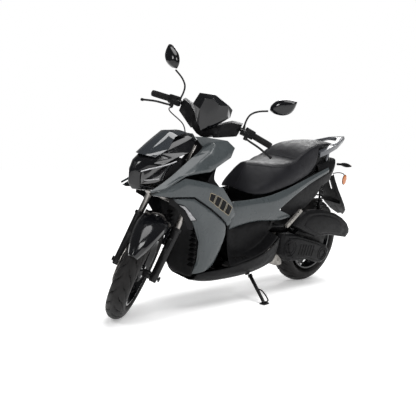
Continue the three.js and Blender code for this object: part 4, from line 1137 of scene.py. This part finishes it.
def make_stage(colours):
    """Camera, pale floor, soft lights and a pale world."""
    tilt = Matrix.Rotation(PITCH, 4, "X")
    deselect()
    bpy.ops.object.camera_add(location=(tilt @ CAMERA_AT + GROUND_SHIFT) * MM)
    camera = bpy.context.object
    forward = (tilt.to_3x3() @ CAMERA_LOOK).normalized()
    right = (tilt.to_3x3() @ CAMERA_LOOK.cross(Vector((0, 0, 1)))).normalized()
    up = right.cross(forward)
    camera.rotation_euler = Matrix((right, up, -forward)).transposed().to_euler()
    camera.data.lens = LENS
    camera.data.sensor_width = SENSOR
    camera.data.clip_end = FLOOR_SIZE
    bpy.context.scene.camera = camera
    bpy.ops.mesh.primitive_plane_add(size=FLOOR_SIZE)
    floor = bpy.context.object
    floor.name = "floor"
    white = plain("floor_white", colours.floor, 0.9, specular=0.0)
    shader_of(white).inputs["Emission Color"].default_value = (1, 1, 1, 1)
    shader_of(white).inputs["Emission Strength"].default_value = FLOOR_GLOW
    floor.data.materials.append(white)
    bpy.ops.object.light_add(type="SUN", location=(1, 1.4, 4))
    sun = bpy.context.object
    sun.name = "overhead"
    sun.data.energy = SUN_STRENGTH
    sun.data.angle = math.radians(SUN_SPREAD)
    sun.rotation_euler = aimed(SUN_HEADING)
    for name, place, size, power in LIGHTS:
        bpy.ops.object.light_add(type="AREA", location=place)
        light = bpy.context.object
        light.name = name
        light.data.size = size
        light.data.energy = power
        light.rotation_euler = aimed(LIGHTS_AIM - Vector(place))
    make_world(colours)
    bpy.context.scene.view_settings.view_transform = "Standard"


def make_world(colours):
    """A pale world: bright to the camera, dimmer as fill and dimmer still in reflections."""
    world = bpy.data.worlds.new("studio")
    bpy.context.scene.world = world
    world.use_nodes = True
    tree = world.node_tree
    shade = tree.nodes["Background"].outputs["Background"]
    tree.nodes["Background"].inputs["Color"].default_value = (*colours.floor, 1)
    tree.nodes["Background"].inputs["Strength"].default_value = FILL_STRENGTH
    path = tree.nodes.new("ShaderNodeLightPath")
    for ray, strength in (("Is Glossy Ray", SHEEN_STRENGTH), ("Is Camera Ray", 1.0)):
        ground = tree.nodes.new("ShaderNodeBackground")
        ground.inputs["Color"].default_value = (1, 1, 1, 1)
        ground.inputs["Strength"].default_value = strength
        choice = tree.nodes.new("ShaderNodeMixShader")
        tree.links.new(path.outputs[ray], choice.inputs["Fac"])
        tree.links.new(shade, choice.inputs[1])
        tree.links.new(ground.outputs["Background"], choice.inputs[2])
        shade = choice.outputs["Shader"]
    tree.links.new(shade, tree.nodes["World Output"].inputs["Surface"])


# ---- Settings ----
def colour(name, description, default):
    """A colour setting."""
    return bpy.props.FloatVectorProperty(
        name=name, description=description, default=default, size=3, min=0, max=1, subtype="COLOR")


def length(name, description, default):
    """A length setting, in millimetres."""
    return bpy.props.FloatProperty(name=name, description=f"{description}, mm", default=default, min=0)


def count(name, description, default):
    """A setting that counts."""
    return bpy.props.IntProperty(name=name, description=description, default=default, min=1)


class ScooterColours(bpy.types.PropertyGroup):
    """The scooter's colours."""

    paint: colour("Paint", "Body lacquer", (0.044, 0.0515, 0.0545))
    gloss: colour("Gloss black", "Polished mouldings", (0.003, 0.0032, 0.004))
    smoke: colour("Smoke", "Screen acrylic", (0.02, 0.023, 0.027))
    plastic: colour("Black plastic", "Grained mouldings", (0.0055, 0.0055, 0.006))
    rubber: colour("Rubber", "Tyres, grips and hoses", (0.011, 0.0105, 0.0105))
    steel: colour("Steel", "Turned steel", (0.3, 0.285, 0.27))
    alloy: colour("Alloy", "Cast aluminium", (0.3, 0.285, 0.265))
    rail: colour("Rail", "Grab rail lacquer", (0.075, 0.078, 0.088))
    lens: colour("Lens", "Lamp covers", (0.012, 0.012, 0.013))
    silver: colour("Silver", "Mirror glass", (0.75, 0.76, 0.78))
    blade: colour("Blade", "Unlit light guides", (0.32, 0.32, 0.33))
    red: colour("Red", "Tail lamp", (0.25, 0.008, 0.008))
    amber: colour("Amber", "Indicators and reflectors", (0.6, 0.17, 0.02))
    vinyl: colour("Vinyl", "Seat cover", (0.0085, 0.0085, 0.0105))
    gold: colour("Gold", "Edge of the slanted bars", (0.25, 0.2, 0.12))
    floor: colour("Floor", "Floor and surroundings", (0.9, 0.9, 0.9))


class ScooterSizes(bpy.types.PropertyGroup):
    """The scooter's finer sizes, in millimetres where they are lengths."""

    tread_depth: length("Tread depth", "Depth of a groove in the tread", 4.6)
    tread_width: length("Tread width", "Half the width of a groove in the tread", 9.5)
    tread_steps: count("Tread steps", "Steps round a tyre", 660)
    groove_width: length("Groove", "Reach of the apron's groove", 7.5)
    blade: length("Blade", "Radius of a lamp's light guide", 3.0)
    louvres: count("Louvres", "Slats on each side of the shield", 10)
    mat_ribs: count("Mat ribs", "Rubber ribs on each footboard", 8)
    reflector: length("Reflector", "Height of a side reflector", 62)
    grip_ribs: count("Grip ribs", "Rings on each grip", 16)
    cover_ribs: count("Cover ribs", "Ribs on the belt cover", 6)
    coil_turns: count("Coil turns", "Turns of the rear spring", 9)
    piping: length("Piping", "Radius of the seat's piping", 1.5)


# ---- Operators ----
class BuildStep:
    """What every building operator shares."""

    bl_options = {"REGISTER", "UNDO"}

    def execute(self, context):
        """Builds these pieces."""
        self.build(context.scene.scooter_sizes)
        return {"FINISHED"}


class SCOOTER_OT_stage(bpy.types.Operator):
    """Add the camera, floor and lights"""

    bl_idname = "scooter.stage"
    bl_label = "Stage"

    def execute(self, context):
        """Sets the stage."""
        make_stage(context.scene.scooter_colours)
        return {"FINISHED"}


class SCOOTER_OT_painted_body(BuildStep, bpy.types.Operator):
    """Add the aprons, shoulders and side bodies"""

    bl_idname = "scooter.painted_body"
    bl_label = "Painted body"
    build = staticmethod(make_painted_body)


class SCOOTER_OT_nose(BuildStep, bpy.types.Operator):
    """Add the nose cover, lamps and screen"""

    bl_idname = "scooter.nose"
    bl_label = "Nose and lamps"
    build = staticmethod(make_nose)


class SCOOTER_OT_inner_panels(BuildStep, bpy.types.Operator):
    """Add the inner shield, floor, belly, store and tank"""

    bl_idname = "scooter.inner_panels"
    bl_label = "Inner panels"
    build = staticmethod(make_inner_panels)


class SCOOTER_OT_tail(BuildStep, bpy.types.Operator):
    """Add the tail cover, lamp, rail and plate holder"""

    bl_idname = "scooter.tail"
    bl_label = "Tail"
    build = staticmethod(make_tail)


class SCOOTER_OT_frame(BuildStep, bpy.types.Operator):
    """Add the frame, fork, mudguard and brake caliper"""

    bl_idname = "scooter.frame"
    bl_label = "Frame and fork"
    build = staticmethod(make_frame)


class SCOOTER_OT_wheels(BuildStep, bpy.types.Operator):
    """Add the tyres, rims and disc"""

    bl_idname = "scooter.wheels"
    bl_label = "Wheels"
    build = staticmethod(make_wheels)


class SCOOTER_OT_controls(BuildStep, bpy.types.Operator):
    """Add the bars, grips, levers, mirrors and dash"""

    bl_idname = "scooter.controls"
    bl_label = "Controls"
    build = staticmethod(make_controls)


class SCOOTER_OT_engine(BuildStep, bpy.types.Operator):
    """Add the engine, belt cover, air box and exhaust"""

    bl_idname = "scooter.engine"
    bl_label = "Engine"
    build = staticmethod(make_engine)


class SCOOTER_OT_chassis_parts(BuildStep, bpy.types.Operator):
    """Add the rear shock, side stand and pegs"""

    bl_idname = "scooter.chassis_parts"
    bl_label = "Suspension, stand and pegs"
    build = staticmethod(make_chassis_parts)


class SCOOTER_OT_seat(BuildStep, bpy.types.Operator):
    """Add the padded seat"""

    bl_idname = "scooter.seat"
    bl_label = "Seat"
    build = staticmethod(make_seat)


STEPS = (SCOOTER_OT_stage, SCOOTER_OT_painted_body, SCOOTER_OT_nose, SCOOTER_OT_inner_panels,
         SCOOTER_OT_tail, SCOOTER_OT_frame, SCOOTER_OT_wheels, SCOOTER_OT_controls, SCOOTER_OT_engine,
         SCOOTER_OT_chassis_parts, SCOOTER_OT_seat)


class SCOOTER_PT_panel(bpy.types.Panel):
    """The scooter's settings and building steps"""

    bl_label = "Scooter"
    bl_idname = "SCOOTER_PT_panel"
    bl_space_type = "VIEW_3D"
    bl_region_type = "UI"
    bl_category = "Scooter"

    def draw(self, context):
        """Lists every setting and step."""
        for group in (context.scene.scooter_colours, context.scene.scooter_sizes):
            for setting in group.__annotations__:
                self.layout.prop(group, setting)
        for step in STEPS:
            self.layout.operator(step.bl_idname)


CLASSES = (ScooterColours, ScooterSizes, *STEPS, SCOOTER_PT_panel)


def register():
    """Adds the classes and the scene's settings."""
    for item in CLASSES:
        bpy.utils.register_class(item)
    bpy.types.Scene.scooter_colours = bpy.props.PointerProperty(type=ScooterColours)
    bpy.types.Scene.scooter_sizes = bpy.props.PointerProperty(type=ScooterSizes)


def unregister():
    """Takes them away again."""
    del bpy.types.Scene.scooter_sizes
    del bpy.types.Scene.scooter_colours
    for item in reversed(CLASSES):
        bpy.utils.unregister_class(item)


def main():
    """Registers the classes and builds the scooter."""
    register()
    for step in STEPS:
        getattr(bpy.ops.scooter, step.bl_idname.removeprefix("scooter."))()


if __name__ == "__main__":
    main()
